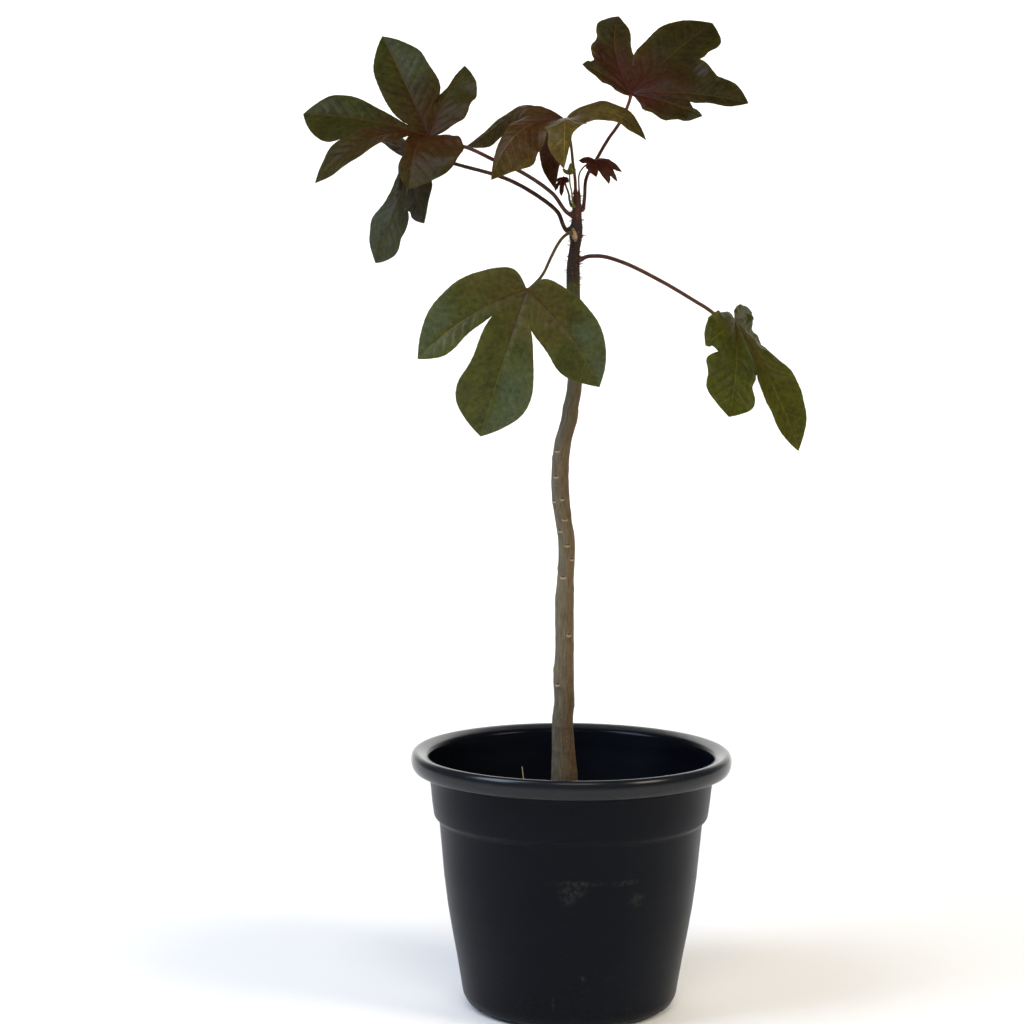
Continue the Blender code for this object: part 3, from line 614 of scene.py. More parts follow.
class Blade:
    """A palmate blade as one bent surface, its lobes in order anticlockwise on the upper side."""

    def __init__(self, foot, face, lobes, notches, fold, seams=None, edges=(0.06, 0.06), wave=1.0, size=1.0,
                 flush=0.2, green_tip=0.7):
        self.foot = np.array(foot, float)
        self.lobes = lobes
        self.notches = notches
        self.seams = seams or [0.5] * len(notches)
        self.fold = fold
        self.edges = edges
        self.wave = wave
        self.size = size
        self.flush = flush
        self.green_tip = green_tip
        for one in lobes:
            one.length = np.linalg.norm(one.tip)
            one.along = unit(one.tip)
            side = unit(np.cross(unit(face), one.tip))
            one.bow = unit(np.cross(one.tip, side))
            one.side = side * math.cos(math.radians(one.roll)) + one.bow * math.sin(math.radians(one.roll))
        self.angles = [math.acos(np.clip(a.along @ b.along, -1, 1)) for a, b in zip(lobes[:-1], lobes[1:])]

    def place(self, k, along, aside):
        """Points at a distance along lobe k and to the left of its midrib."""
        one = self.lobes[k]
        share = along / one.length
        ahead = np.maximum(share, 0)
        lean = 1 + one.skew * (2 * ahead - 1)
        bow = 4 * one.arch * np.where(share >= 0, ahead * (1 - ahead) * lean, (1 - one.skew) * share)
        bow_slope = 4 * one.arch * ((1 - 2 * ahead) * lean + ahead * (1 - ahead) * 2 * one.skew) / one.length
        sway = 4 * one.bend * ahead * (1 - ahead)
        sway_slope = 4 * one.bend * (1 - 2 * ahead) / one.length
        middle = one.tip * share[..., None] + one.bow * bow[..., None] + one.side * sway[..., None]
        tangent = one.along + one.bow * bow_slope[..., None] + one.side * sway_slope[..., None]
        tangent /= np.linalg.norm(tangent, axis=-1, keepdims=True)
        side = one.side - tangent * (tangent @ one.side)[..., None]
        normal = np.cross(tangent, side)
        fold = np.radians(np.where(aside > 0, *(one.folds or (self.fold, self.fold))))
        ripple = self.wave * np.sin(share * 19 + 1.7 * k)
        ripple *= np.clip(np.abs(aside) / np.mean(one.widths), 0, 1.5) ** 2
        ripple *= ease(0.1, 0.4, share) * (1 - ease(0.85, 1, share))
        lift = np.abs(aside) * np.sin(fold) + ripple
        return middle + (aside * np.cos(fold))[..., None] * side + lift[..., None] * normal

    def grid(self, k, rows_in, rows_out, columns):
        """Rows of points over lobe k from the blade's foot to the tip, with what each knows of its place."""
        one = self.lobes[k]
        start = np.mean(self.notches[max(k - 1, 0):k + 1]) / one.length
        row = np.arange(rows_in + rows_out + 1)
        inner = row <= rows_in
        climb = np.clip(row / rows_in, 0, 1)
        out = np.clip((row - rows_in) / rows_out, 0, 1)
        rib = np.where(inner, climb * start, start + (1 - start) * out)
        t = (np.arange(columns + 1) / columns) ** 1.25
        along, aside, margin, bloom, red, tone = np.zeros((6, len(row), 2 * columns + 1))
        seams = []
        for side, sign in enumerate((1, -1)):
            pair = k - side
            if 0 <= pair < len(self.notches):
                neighbour = self.lobes[k + sign]
                other_share = self.seams[pair] if sign > 0 else 1 - self.seams[pair]
                notch_along = self.notches[pair] * math.cos(self.angles[pair] * other_share)
                notch_aside = self.notches[pair] * math.sin(self.angles[pair] * other_share)
                edge_along = climb * notch_along + (one.length - notch_along) * out
                swell = one.widths[side] * smooth_curve(LOBE_AT, LOBE_HALF_WIDTH, out ** one.peaks[side])
                edge_aside = climb * notch_aside * (1 - ease(0, 0.5, out)) + swell
                share = other_share * (1 - ease(0, 0.35, out))
                free = ease(0, 0.08, out)
            else:
                neighbour = one
                reach = np.where(inner, start * climb**1.6, rib)
                back = self.edges[1 - side] * np.sin(np.pi * np.clip(reach / 0.25, 0, 1))
                edge_along = (reach - back) * one.length
                spread = smooth_curve(EDGE_AT, EDGE_HALF_WIDTH, np.clip(reach, 0, 1) ** one.peaks[side])
                edge_aside = one.widths[side] * spread
                share = np.zeros(len(row))
                free = ease(0, 0.2, climb)
            tooth = np.abs(np.sin(np.pi * edge_along / (TOOTH_STEP * self.size) + k)) ** 1.5
            edge_aside = edge_aside + TOOTH_DEPTH * self.size * (tooth - 0.5) * free * ease(0, 0.1, 1 - out)
            part = columns + sign * np.arange(columns + 1)
            along[:, part] = np.outer(rib * one.length, 1 - t) + np.outer(edge_along, t)
            aside[:, part] = np.outer(sign * edge_aside, t)
            margin[:, part] = np.outer(free, t)
            # Painted sheen: how much reflection of bluish light is painted on each half of the lobe, fading
            # in away from its foot and its midrib.
            bloom[:, part] = one.bloom[side] * np.outer(ease(0.2, 0.5, out), ease(0.02, 0.3, t))
            near = np.outer(0.5 * (1 - ease(0, 0.3, out)), t * t)
            red[:, part] = one.red + (neighbour.red - one.red) * near
            tone[:, part] = one.tone + (neighbour.tone - one.tone) * near
            if neighbour is not one:
                seams.append((part, sign, self.angles[pair] * sign, np.outer(share, t * t)[..., None]))
        reach = along / one.length
        red *= 1 - self.green_tip * ease(0.45, 1, reach)
        red += self.flush * (1 - ease(0.08, 0.62, reach))
        points = self.place(k, along, aside)
        for part, sign, turn, share in seams:
            a = along[:, part] * math.cos(turn) + aside[:, part] * math.sin(turn)
            b = aside[:, part] * math.cos(turn) - along[:, part] * math.sin(turn)
            points[:, part] = points[:, part] * (1 - share) + self.place(k + sign, a, b) * share
        return self.foot + points, np.stack([aside, along, margin, reach, red, tone, bloom], -1)


def blade_mesh(name, blade, rows_in, rows_out, columns):
    """The blade as a closed skin: upper side, under side with raised ribs, and the thin edge between."""
    last = rows_in + rows_out
    points = [blade.foot]
    facts = [(0, 0, 0, 0, blade.lobes[0].red, 1, 0)]
    faces = []
    marks = []
    seam = None
    for k in range(len(blade.lobes)):
        spots, known = blade.grid(k, rows_in, rows_out, columns)
        index = np.zeros(known.shape[:2], int)
        for row in range(1, last + 1):
            for column in range(2 * columns + 1):
                if seam is not None and column == 0 and row <= rows_in:
                    index[row, column] = seam[row]
                elif row == last and column > 0:
                    index[row, column] = index[row, 0]
                else:
                    index[row, column] = len(points)
                    points.append(spots[row, column if row < last else columns])
                    facts.append(known[row, column])
        seam = index[:, 2 * columns]
        for row in range(last):
            for column in range(2 * columns):
                loop = [(row, column), (row + 1, column), (row + 1, column + 1), (row, column + 1)]
                if row == 0:
                    loop = [(0, columns), *loop[1:3]]
                if row == last - 1:
                    loop = [loop[0], (last, columns), loop[3]]
                faces.append([index[spot] for spot in loop])
                marks.append([known[spot][:4] for spot in loop])
    points = np.array(points)
    normals = np.zeros_like(points)
    for face in faces:
        a, b, c, d = points[[face[0], face[1], face[-1], face[2]]]
        normals[face] += np.cross(d - a, c - b) if len(face) == 4 else np.cross(b - a, c - a)
    normals /= np.linalg.norm(normals, axis=1, keepdims=True)
    size = blade.size
    aside, along, margin, reach, red, tone, bloom = np.array(facts).T
    out = np.abs(aside)
    inside = 1 - ease(0.75, 1, margin)
    # How many side veins lie between each point and the foot of its lobe, and how far the nearest one is
    veins = (along - VEIN_LEAN * out - VEIN_BOW / size * out**2) / (VEIN_SPACING * size)
    veins += VEIN_STAGGER * (aside < 0)
    to_vein = np.abs(np.mod(veins + 0.5, 1) - 0.5)
    pillow = ease(0, 0.32, to_vein) * ease(0.8, 4, out) * inside * (1 - ease(0.8, 1, reach))
    vein_ridge = (1 - ease(0, 0.1, to_vein)) * ease(0.5, 1.5, out) * inside * (1 - ease(0.75, 1, reach))
    rib_width = (0.35 + 0.75 * (1 - ease(0, 1, reach))) * size
    rib = np.exp(-((out / rib_width) ** 2)) * (1 - ease(0.85, 1, reach))
    wrinkle = np.array([noise.fractal(Vector(p) / (7 * size), 0.8, 2, 4) for p in points])
    swell = np.array([noise.noise(Vector(p) / (19 * size) + Vector((9, 4, 1))) for p in points])
    sheet = (0.5 * pillow + 0.2 * wrinkle + 0.9 * swell * ease(2, 12, out)) * size
    sheet *= ease(0, 3, along) * (1 - ease(0.8, 1, reach))
    thick = BLADE_EDGE + (BLADE_MIDDLE - BLADE_EDGE) * inside
    upper = sheet + thick / 2 - 0.12 * rib * size
    under = sheet - thick / 2 - (0.28 + 0.75 * rib_width) * rib * size - 0.22 * vein_ridge * size
    skin = np.concatenate([points + normals * upper[:, None], points + normals * under[:, None]])
    total = len(points)
    skin_faces = faces + [[i + total for i in reversed(face)] for face in faces]
    corners = [mark for loop in marks for mark in loop] + [mark for loop in marks for mark in reversed(loop)]
    directed = {(a, b) for face in faces for a, b in zip(face, face[1:] + face[:1])}
    for face, loop in zip(faces, marks):
        for i in range(len(face)):
            ahead = (i + 1) % len(face)
            a, b = face[i], face[ahead]
            if (b, a) not in directed:
                skin_faces.append((b, a, a + total, b + total))
                corners += [loop[ahead], loop[i], loop[i], loop[ahead]]
    corners = np.array(corners)
    mesh = build_mesh(name, skin, skin_faces, {"ribs": corners[:, :2], "edges": corners[:, 2:]})
    # The under side carries 0.3 of the painted sheen of the upper side.
    add_facts(mesh, {"red": [*red, *red], "tone": [*tone, *tone], "bloom": [*bloom, *(0.3 * bloom)]})
    flat = len(skin_faces) - 2 * len(faces)
    mesh.polygons.foreach_set("material_index", np.repeat([0, 1, 0], [len(faces), len(faces), flat]))
    mesh.polygons.foreach_set("use_smooth", np.arange(len(skin_faces)) < 2 * len(faces))
    return mesh


def stalk_surface(name, foot_colour, tip_colour, light_colour):
    """Green, fleshy stalk flushed red, its colour running from foot to tip with lighter patches: smooth with
    a soft wax sheen.
    """
    surface, add, finish = new_surface(name)
    place = add("TexCoord", output="Object")
    reach = add("SeparateXYZ", [add("UVMap", uv_map="stalk")], "Y")
    cloud = add("TexNoise", {"Vector": place, "Scale": 1 / 0.004, "Detail": 4})
    base = add("Mix", [reach, foot_colour, tip_colour], data_type="RGBA")
    share = add("MapRange", [cloud, 0.45, 0.7, 0, 0.5])
    colour = add("Mix", [share, base, light_colour], data_type="RGBA")
    bump = add("Bump", {"Height": cloud, "Strength": 0.5, "Distance": 0.0002})
    finish({"Base Color": colour, "Normal": bump, "Roughness": 0.45, "Specular IOR Level": 0.25})
    return surface


def leaf_skin(name, green, deep, red, vein, size=1.0, rim_share=0.2, shine=0.1):
    """One side of a living blade: mottled green, flushed red where young, with a net of fine veins and a
    painted sheen of bluish grey-green on lobe halves that face the light.
    """
    surface, add, finish = new_surface(name)
    place = add("TexCoord", output="Object")
    aside, along = [add("SeparateXYZ", [add("UVMap", uv_map="ribs")], axis) for axis in "XY"]
    margin, reach = [add("SeparateXYZ", [add("UVMap", uv_map="edges")], axis) for axis in "XY"]
    out = add("Math", [aside], operation="ABSOLUTE")
    square = add("Math", [out, out], operation="MULTIPLY")
    lean = add("Math", [out, -VEIN_LEAN, along], operation="MULTIPLY_ADD")
    curve = add("Math", [square, -VEIN_BOW / size, lean], operation="MULTIPLY_ADD")
    right = add("Math", [aside, 0], operation="LESS_THAN")
    shift = add("Math", [right, VEIN_STAGGER * VEIN_SPACING * size, curve], operation="MULTIPLY_ADD")
    count = add("Math", [shift, VEIN_SPACING * size], operation="DIVIDE")
    to_vein = add("Math", [count, 0.5], operation="PINGPONG")
    side_vein = add("MapRange", [to_vein, 0.075, 0.02], interpolation_type="SMOOTHSTEP")
    thins = add("MapRange", [margin, 0.55, 1, 0.45, 0.045])
    faint = add("Math", [side_vein, thins], operation="MULTIPLY")
    rib_half = add("MapRange", [reach, 0, 1, 0.75 * size, 0.2 * size])
    ratio = add("Math", [out, rib_half], operation="DIVIDE")
    rib = add("MapRange", [ratio, 1.3, 0.6], interpolation_type="SMOOTHSTEP")
    mesh_size = 0.0032 * size
    net = add("TexVoronoi", {"Vector": place, "Scale": 1 / mesh_size}, feature="DISTANCE_TO_EDGE")
    net_line = add("MapRange", [net, 0.09, 0.02, 0, 0.18])
    veins = add("Math", [faint, rib], operation="MAXIMUM")
    all_veins = add("Math", [veins, net_line], operation="MAXIMUM")
    cloud_size = 0.016 * size
    cloud = add("TexNoise", {"Vector": place, "Scale": 1 / cloud_size, "Detail": 5, "Roughness": 0.6})
    mottle = add("MapRange", [cloud, 0.28, 0.72])
    leafy = add("Mix", [mottle, deep, green], data_type="RGBA")
    flush = add("Attribute", output="Fac", attribute_name="red")
    patch = add("TexNoise", {"Vector": place, "Scale": 1 / (0.03 * size), "Detail": 3})
    spread = add("MapRange", [patch, 0.3, 0.7, -0.16, 0.16])
    near_rib = add("MapRange", [out, 5 * size, 0, 0, 0.12])
    patchy = add("Math", [flush, spread], operation="ADD")
    flushed = add("Math", [patchy, near_rib], operation="ADD", use_clamp=True)
    reddened = add("Mix", [flushed, leafy, red], data_type="RGBA")
    greening = add("MapRange", [reach, 0.2, 0.65])
    vein_tint = add("Mix", [greening, "#421c0e", vein], data_type="RGBA")
    vein_share = add("Math", [all_veins, 0.6], operation="MULTIPLY")
    veined = add("Mix", [vein_share, reddened, vein_tint], data_type="RGBA")
    # Painted sheen: bluish grey-green is mixed in, in patches, where a lobe half is given sheen. It stands in
    # for the reflection of the bluish light on the halves that face it.
    bloom = add("Attribute", output="Fac", attribute_name="bloom")
    sheen_patch = add("MapRange", [patch, 0.35, 0.6, 0.45, 1])
    sheen_share = add("Math", [bloom, sheen_patch], operation="MULTIPLY")
    sheened = add("Mix", [sheen_share, veined, "#4a5641"], data_type="RGBA")
    rim = add("MapRange", [margin, 0.7, 1, 0, rim_share])
    rimmed = add("Mix", [rim, sheened, vein], data_type="RGBA")
    # A lobe's tone scales its colour; where it is set away from 1 it is painted light or shade on that lobe.
    tone = add("Attribute", output="Fac", attribute_name="tone")
    toned = add("VectorMath", [rimmed, tone], operation="SCALE")
    fleck = add("TexNoise", {"Vector": place, "Scale": 1 / 0.0035, "Detail": 5, "Roughness": 0.65})
    fleck_tone = add("MapRange", [fleck, 0.3, 0.7, 0.66, 1.34])
    flecked = add("VectorMath", [toned, fleck_tone], operation="SCALE")
    grain = add("TexNoise", {"Vector": place, "Scale": 1 / 0.0007, "Detail": 3})
    relief = add("Math", [all_veins, -0.7, grain], operation="MULTIPLY_ADD")
    bump = add("Bump", {"Height": relief, "Strength": 0.5, "Distance": 0.00015})
    rough = add("MapRange", [cloud, 0, 1, 0.34, 0.46])
    finish({"Base Color": flecked, "Normal": bump, "Roughness": rough, "Specular IOR Level": shine})
    return surface


def add_leaf(name, blade, foot, knots, attach, radii, stalk_colours, upper, under, counts=(16, 72, 20)):
    """A stalk grown out of the stem and its blade, in place of the two CAD nodes of that name."""
    start, outward = foot
    neck = blade.foot + unit(attach) * (0.7 + 2 * radii[1])
    line = np.array([start - outward * 1.2, start, *knots, neck, blade.foot])
    run = run_along(line)
    at = np.linspace(0, run[-1], int(run[-1] / STALK_STEP))
    path = np.stack([smooth_curve(run, line[:, i], at) for i in range(3)], 1)
    share = at / at[-1]
    size = radii[0] + (radii[1] - radii[0]) * share
    size = size * (1 + 0.7 * np.exp(-((at / 2.6) ** 2)) + 0.35 * ease(0.965, 1, share)) - 0.1
    stalk = tube_mesh(name + "_stalk_visual", path, size, STALK_SIDES)
    stalk_skin = stalk_surface("Leaf stalk, " + name, *stalk_colours)
    add_piece(name + "_stalk_visual", stalk, [stalk_skin], [name + "_stalk"])
    mesh = blade_mesh(name + "_blade_visual", blade, *counts)
    add_piece(name + "_blade_visual", mesh, [upper, under], [name + "_blade"])


# In the lobes below, the pair given for each half's sheen paints a reflection of light into its colour
# (painted sheen).
# Leaf in front, three lobes hanging down to the left of the stem
front_blade = Blade(
    foot=(-36, -52, 560), face=(0, -1, 0.25),
    lobes=[
        lobe((-81, -14, -52), (14, 27), 6, bend=-5, peaks=(1.3, 0.9), red=-0.05, bloom=(0, 0.5)),
        lobe((-34, -6, -110), (29, 28), 8, peaks=(1.15, 1.25), red=-0.1, bloom=(0.5, 0)),
        lobe((55, 8, -73), (24, 23), 6, bend=4, red=-0.02, bloom=(0.6, 0)),
    ],
    notches=[34, 19], seams=[0.3, 0.33], fold=10, flush=0.3,
)
add_leaf("front_leaf", front_blade, stem_side(603, 230),
         [(-9, -12, 600), (-14, -22, 593), (-18, -30, 585), (-26, -44, 569)],
         (0, 1, -0.25), (1.4, 1.2), ("#524426", "#46381a", "#605428"),
         leaf_skin("Leaf, olive green upper side", "#494c1c", "#323610", "#523c14", "#62602e", shine=0.17),
         leaf_skin("Leaf, olive green under side", "#5a6034", "#4c522a", "#5a4a28", "#6e6c42"))

# Large leaf at the upper left
upper_left_blade = Blade(
    foot=(-111, -25, 674), face=(-0.15, -0.75, 0.65),
    lobes=[
        lobe((25, 35, 56), (2, 25), 5, red=0.2, bloom=(0, 0.05)),
        lobe((-39, 45, 79), (20, 22), 5, peaks=(0.85, 0.8), red=0.05, bloom=(0, 0.25)),
        lobe((-96, 5, 17), (29, 20), 6, peaks=(1.4, 1.4), red=0, bloom=(0, 0.15)),
        lobe((-83, -35, -36), (21, 18), 21, roll=18, peaks=(1.2, 1), red=0.6),
        lobe((-12, -50, -41), (38, 10), 14, peaks=(1.7, 1.4), red=0.9),
    ],
    notches=[27, 14, 25, 25], seams=[0.3, 0.69, 0.5, 0.5], fold=8, edges=(-0.05, 0.15), flush=0.6,
)
add_leaf("upper_left_leaf", upper_left_blade, stem_side(617, 198),
         [(-18, -4, 633), (-42, -8, 649), (-61, -12, 657), (-84, -19, 667)],
         (0.15, 0.75, -0.65), (1.7, 1.5), ("#42241a", "#4e2c22", "#644034"),
         leaf_skin("Leaf, dark green upper side", "#373611", "#25240a", "#381f08", "#4a4218", shine=0.07),
         leaf_skin("Leaf, dark green under side", "#423c1e", "#322c14", "#402610", "#564a2a"))

# Leaf behind it at the lower left, two lobes hanging down
lower_left_blade = Blade(
    foot=(-122, 15, 664), face=(-0.65, -0.65, 0.35),
    lobes=[
        lobe((-52, 40, 14), (6, 14), 8, roll=60, red=0.3),
        lobe((-32, -8, -85), (21, 18), 8, bend=8, peaks=(1, 1.6), folds=(0, 10), red=0.15,
             bloom=(0.2, 0.35)),
        lobe((8, -50, -55), (24, 8), 8, red=0.4),
    ],
    notches=[10, 52], seams=[0.6, 0.66], fold=10, edges=(-0.02, -0.02),
)
add_leaf("lower_left_leaf", lower_left_blade, stem_side(605, 170),
         [(-14, 4, 619), (-29, 8, 631), (-53, 12, 644), (-91, 15, 655)],
         (0.8, 0.5, -0.3), (1.8, 1.5), ("#3a2018", "#46281c", "#5c3c2c"),
         leaf_skin("Leaf, grey green upper side", "#3e3d20", "#302e1c", "#3c2416", "#504a2c", shine=0.15),
         leaf_skin("Leaf, grey green under side", "#46422a", "#383422", "#422c20", "#585238"))

# Half grown leaf on top, its lobes hanging like an umbrella
top_centre_blade = Blade(
    foot=(-8, 5, 689), face=(0, -0.2, 1),
    # Lobe 2's lower tone is painted shade. Lobes 3 and 4 are lightened as painted light, lobe 3 most for its
    # highlight.
    lobes=[
        lobe((-8, 30, -52), (10, 12), 18, roll=50, red=0.5),
        lobe((-77, 25, -19), (14, 8), 14, roll=-40, skew=-0.8, red=0.2),
        lobe((-56, -33, -47), (25, 10), 17, roll=-30, peaks=(1, 0.6), red=0.75, tone=0.9),
        lobe((-1, -45, -39), (6, 13), 18, peaks=(0.6, 1), red=-0.1, tone=1.25),
        lobe((61, -18, -16), (10, 10), 14, roll=28, folds=(8, 8), red=0, tone=1.1),
    ],
    notches=[18, 22, 25, 22], fold=-14, edges=(-0.08, 0.06), size=0.8,
)
add_leaf("top_centre_leaf", top_centre_blade, (np.array([-0.3, 0, 633.3]), np.array([0, 0, 1])),
         [(-0.8, 0, 645), (-2.4, 1, 656), (-4, 3, 670)],
         (0.2, 0.2, -1), (1.4, 1.1), ("#643422", "#606028", "#786432"),
         leaf_skin("Leaf, bronze upper side", "#50441a", "#3a2e0e", "#40200c", "#7a6832", 0.8),
         leaf_skin("Leaf, maroon under side", "#4c3016", "#3a2010", "#441e10", "#62442a", 0.8))

# Leaf at the upper right, its lobes spread upwards
top_right_blade = Blade(
    foot=(41, -5, 708), face=(0.1, -0.85, 0.5),
    lobes=[
        lobe((54, -15, -17), (3, 17), 4, peaks=(1, 1.4), red=0.3, bloom=(0.2, 0.3)),
        lobe((89, -10, -7), (17, 8), 7, red=0),
        lobe((63.5, 42, 57.5), (22, 20), 6, peaks=(0.8, 1.15), red=-0.1),
        lobe((-9, 38, 62), (15, 13), 6, bend=8, peaks=(1.2, 1), red=0.35, bloom=(0.2, 0.05)),
        lobe((-37, -4, 22), (7, 5), 4, red=0.35),
    ],
    notches=[44, 53, 18, 37], seams=[0.5, 0.64, 0.5, 0.72], fold=8, edges=(-0.05, 0.02), flush=0.8,
)
add_leaf("top_right_leaf", top_right_blade, stem_side(621, 5),
         [(6.4, 0, 627), (8, 4, 645), (16, 8, 660), (24, 9, 674), (33, 5, 687)],
         (-0.1, 0.5, -1), (1.5, 1.4), ("#421e18", "#6e382c", "#744a3c"),
         leaf_skin("Leaf, dark olive upper side", "#302a0a", "#201a06", "#3a1a0e", "#4a420e", rim_share=0.4),
         leaf_skin("Leaf, dark olive under side", "#3a2e14", "#2a200e", "#3e2012", "#524222"))

# Leaf on the right, two long lobes hanging straight down
right_blade = Blade(
    foot=(122, -12, 537), face=(0.35, -0.85, 0.35),
    lobes=[
        lobe((-24, -38, -18), (3, 15), 5, peaks=(1, 1.4), red=0.1),
        lobe((-6, -45, -71), (18, 24), 8, peaks=(1.5, 0.9), red=0),
        lobe((51, 10, -100), (19.8, 12), 8, red=0.05),
        lobe((25, 60, -21), (5, 10), 0, red=0.1),
        lobe((12.5, 40, 9.5), (7, 6), 0, peaks=(1.2, 1), red=0.1),
    ],
    notches=[43, 45, 30, 34], seams=[0.35, 0.6, 0.5, 0.5], fold=8, edges=(0.16, -0.06), flush=0.2,
)
add_leaf("right_leaf", right_blade, stem_side(583, -10),
         [(9, -2, 585), (17, -3, 585.5), (33, -5, 582), (67, -6, 566), (98, -6, 548)],
         (-0.8, 0.35, -0.1), (1.7, 1.5), ("#3e2018", "#55301f", "#6a4834"),
         leaf_skin("Leaf, bright olive upper side", "#464a0c", "#313607", "#4e3f0e", "#66662a"),
         leaf_skin("Leaf, bright olive under side", "#5c6230", "#4e5426", "#5a4c28", "#747244"))

# Young leaves
# Three leaves still opening beside the growing tip. They are thin, crumpled and flushed red, because
# the green has not yet come through, and their lobes are narrow with long points.

young_red_blade = Blade(
    foot=(14.5, -9, 658), face=(0, -0.6, 0.8),
    lobes=[
        lobe((-12.5, -2, -0.5), (5, 2.5), 2, red=0.8),
        lobe((1, -6, -13), (1.5, 6), 3, peaks=(1, 0.7), red=0.9),
        lobe((10.5, -10, -18.5), (3, 3.5), 4, peaks=(0.65, 0.65), red=0.6),
        lobe((17, -8, -16.5), (2, 2.5), 4, peaks=(0.65, 0.65), red=0.8),
        lobe((20.5, -4, -9), (5, 3), 3, peaks=(0.65, 0.65), red=0.6),
    ],
    notches=[7, 5, 16, 14], fold=-10, edges=(0, 0), wave=0.2, size=0.3,
    green_tip=0.2,
)
red_skin = leaf_skin("Young leaf, flushed red", "#3e2c10", "#2c1c0a", "#38140a", "#5c3820", 0.3)
add_leaf("young_red_leaf", young_red_blade, (np.array([2.4, -1, 633.3]), np.array([0, 0, 1])),
         [(2.1, -2.5, 645), (3.2, -3, 649.5), (7, -4, 654)],
         (-0.4, 0.7, -0.4), (0.8, 0.7), ("#4a2218", "#5a281e", "#6c3a2c"),
         red_skin, red_skin, (8, 26, 7))

young_dark_blade = Blade(
    foot=(-9.5, -6, 645), face=(-0.3, -0.6, 0.75),
    lobes=[
        lobe((-5.5, -4, -3.5), (1.5, 2), 1, red=0.8),
        lobe((-6.5, -4, -10.5), (1.8, 1.5), 1.5, red=0.8),
        lobe((-1.5, -5, -14.5), (2, 1.8), 1.5, red=0.8),
        lobe((4, -4, -4), (2, 2), 1, red=0.8),
    ],
    notches=[4, 6, 4], fold=-8, edges=(0, 0), wave=0.1, size=0.22,
    green_tip=0.2,
)
dark_skin = leaf_skin("Young leaf, dark red", "#38340f", "#2c1c0a", "#380f08", "#4c2814", 0.22)
add_leaf("young_dark_leaf", young_dark_blade, stem_side(624, 195),
         [(-4.8, -1.8, 628), (-5.4, -2.6, 632.5), (-7.6, -3.4, 638.5)],
         (0.2, 0.8, -0.4), (1.1, 0.8), ("#5c4a22", "#5a3a1e", "#74603a"),
         dark_skin, dark_skin, (6, 20, 6))

young_green_blade = Blade(
    foot=(-5, -7, 647.5), face=(0, -0.9, -0.3),
    lobes=[
        lobe((5, -1, 4), (1.2, 1.6), 0.5, red=0.1),
        lobe((1, -1, 8.5), (1.4, 1.4), 0.8, red=0.1),
        lobe((-5.5, -2, 4), (1.6, 1.2), 0.5, red=0.1),
    ],
    notches=[3.2, 3.2], fold=5, edges=(0, 0), wave=0, size=0.18,
)
green_skin = leaf_skin("Young leaf, green", "#565c24", "#454a1c", "#5a3a20", "#6e7038", 0.18)
add_leaf("young_green_leaf", young_green_blade, stem_side(623, 240),
         [(-2.4, -5.2, 627), (-3.2, -5.8, 634), (-4.6, -6.4, 641)],
         (0.1, 0.1, -1), (0.8, 0.7), ("#5a5a24", "#5c6028", "#74703a"),
         green_skin, green_skin, (5, 16, 5))

# Gland hairs
# Short stiff hairs with a sticky red head, which grow in tufts where each stalk leaves the stem.

# Tufts: height, degrees round (-90 is the front) and how many hairs
HAIR_TUFTS = [
    (629, -150, 9), (629, -30, 9), (622, 200, 8), (622, 0, 8), (600, -120, 6), (600, -10, 8), (586, 0, 7),
    (577, -10, 6), (570, 5, 6), (563, -5, 4), (612, 180, 8), (612, 10, 8), (630, 90, 6), (595, 170, 6),
    (595, 80, 5), (583, 185, 5), (572, 178, 4),
]
# Share of the length and radius in mm, from the sticky head down to the root
HAIR_SHAPE = [(1, 0.08), (0.93, 0.24), (0.85, 0.13), (0.5, 0.17), (0, 0.26)]
HAIR_SIDES = 5
HAIR_SAG = 0.25


def hairs_mesh():
    draw = random.Random(21)
    points = []
    faces = []
    for height, degrees, count in HAIR_TUFTS:
        for _ in range(count):
            turn = math.radians(degrees + draw.uniform(-32, 32))
            rise = height + draw.uniform(-3, 3)
            middle, radius = stem_at(rise)
            outward = Vector((math.cos(turn), math.sin(turn), 0))
            start = Vector((float(middle), 0, rise)) + outward * (float(radius) - 0.2)
            aim = (outward + Vector((0, 0, draw.uniform(-0.1, 0.9)))).normalized()
            length = draw.uniform(1.8, 4.4)
            side = aim.cross(Vector((0.2, 0.3, 0.9))).normalized()
            other = aim.cross(side)
            faces += ring_faces(len(HAIR_SHAPE), HAIR_SIDES, len(points))[0]
            spots = [start + aim * length * share - Vector((0, 0, HAIR_SAG * share * share * length))
                     for share, width in HAIR_SHAPE]
            points.append(spots[0])
            for spot, (share, width) in zip(spots, HAIR_SHAPE):
                points += [spot + (side * x + other * y) * width for x, y in circle(1, 0, HAIR_SIDES)[:, :2]]
            points.append(spots[-1])
    return build_mesh("gland_hairs", points, faces)


def hair_surface():
    """Glassy hair with a dark red sticky head."""
    surface, add, finish = new_surface("Gland hair")
    place = add("TexCoord", output="Object")
    cloud = add("TexNoise", {"Vector": place, "Scale": 1 / 0.002})
    colour = add("Mix", [cloud, "#2e160e", "#5a3a24"], data_type="RGBA")
    finish({"Base Color": colour, "Roughness": 0.35})
    return surface


add_piece("gland_hairs", hairs_mesh(), [hair_surface()], [])

# Floor, light and camera
# A plain pale floor that sweeps up behind into a backdrop, soft boxes over it, and a camera two metres
# in front of the pot, a little below the top of the stem.

CAMERA_PLACE = (0, -2.0, 0.58)
CAMERA_PITCH = 0.0958
CAMERA_YAW = 0.0237
CAMERA_ROLL = 0.0060
LENS = 91.2
SENSOR_WIDTH = 36
SWEEP_START = 2.4
SWEEP_RADIUS = 1.2
SWEEP_REACH = 6
SWEEP_STEPS = 16


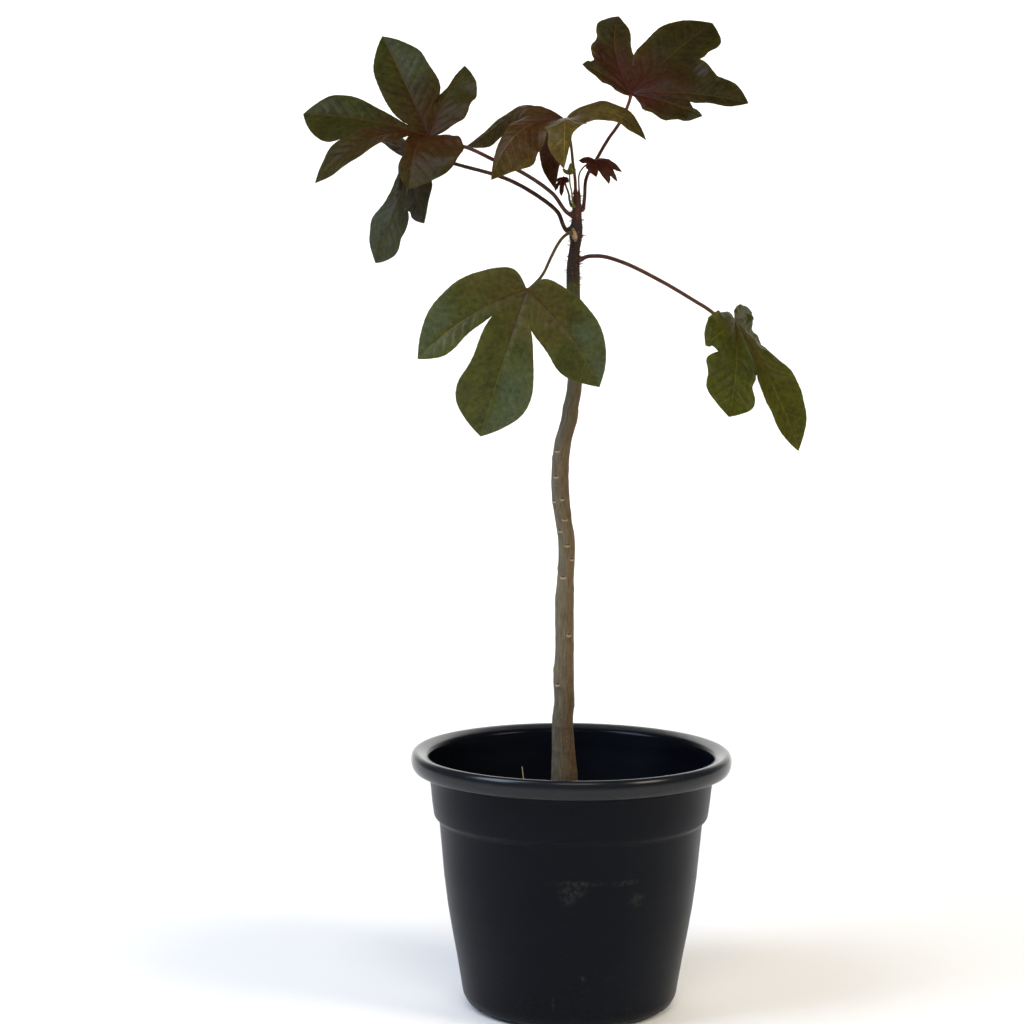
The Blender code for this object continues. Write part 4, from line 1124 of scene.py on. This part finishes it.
def sweep_mesh():
    profile = [(-SWEEP_REACH, 0), (SWEEP_START, 0)]
    for turn in np.linspace(0, math.pi / 2, SWEEP_STEPS + 1)[1:]:
        profile.append((SWEEP_START + SWEEP_RADIUS * math.sin(turn), SWEEP_RADIUS * (1 - math.cos(turn))))
    profile.append((SWEEP_START + SWEEP_RADIUS, SWEEP_REACH))
    points = [(x / MM, y / MM, z / MM) for y, z in profile for x in (-SWEEP_REACH, SWEEP_REACH)]
    faces = [(2 * i, 2 * i + 1, 2 * i + 3, 2 * i + 2) for i in range(len(profile) - 1)]
    return build_mesh("studio_sweep", points, faces)


def soft_box(name, place, target, size, power, colour):
    lamp = bpy.data.lights.new(name, "AREA")
    lamp.shape = "RECTANGLE"
    lamp.size, lamp.size_y = size
    lamp.energy = power
    lamp.color = linear(colour)[:3]
    holder = add_object(name, lamp)
    holder.location = place
    holder.rotation_euler = (Vector(target) - Vector(place)).to_track_quat("-Z", "Y").to_euler()
    return holder


floor = add_object("studio_sweep", sweep_mesh())
paper, add_to_paper, finish_paper = new_surface("Matt white paper")
grain = add_to_paper("TexNoise", {"Scale": 60, "Detail": 4})
bump = add_to_paper("Bump", {"Height": grain, "Strength": 0.05, "Distance": 0.001})
finish_paper({"Base Color": "#f2f2f0", "Normal": bump, "Roughness": 0.9, "Specular IOR Level": 0.1})
floor.data.materials.append(paper)
floor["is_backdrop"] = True

soft_box("window_left", (-1.5, -0.8, 1.8), (0, 0, 0.45), (1.0, 1.6), 44, "#dce8ff")
soft_box("window_right", (1.8, -1.0, 1.6), (0, 0, 0.4), (0.8, 0.8), 18, "#fff1de")
soft_box("front_top", (0.2, -1.9, 2.4), (0, 0, 0.5), (1.2, 0.8), 14, "#fff6ea")
backdrop_light = soft_box("backdrop_light", (0, 2.2, 2.6), (0, 3.6, 0.6), (4.0, 1.0), 90, "#ffffff")
# The backdrop's own light is flagged off the plant, so that the leaves show no veil of it
paper_only = bpy.data.collections.new("lit_by_backdrop_light")
paper_only.objects.link(floor)
backdrop_light.light_linking.receiver_collection = paper_only

world = bpy.data.worlds.new("studio")
world.use_nodes = True
feed(world.node_tree, world.node_tree.nodes["Background"], {"Color": "#eef2f8", "Strength": 0.18})
bpy.context.scene.world = world
bpy.context.scene.view_settings.view_transform = "Standard"

lens = bpy.data.cameras.new("camera")
lens.sensor_width = SENSOR_WIDTH
lens.lens = LENS
lens.clip_end = 50
camera = add_object("camera", lens)
aim = Matrix.Rotation(CAMERA_YAW, 4, "Z") @ Matrix.Rotation(math.pi / 2 - CAMERA_PITCH, 4, "X")
camera.matrix_world = Matrix.Translation(CAMERA_PLACE) @ aim @ Matrix.Rotation(CAMERA_ROLL, 4, "Z")
bpy.context.scene.camera = camera

low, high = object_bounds()
sizes = {"cad": [list(cad_low), list(cad_high)], "visual": [list(low), list(high)]}
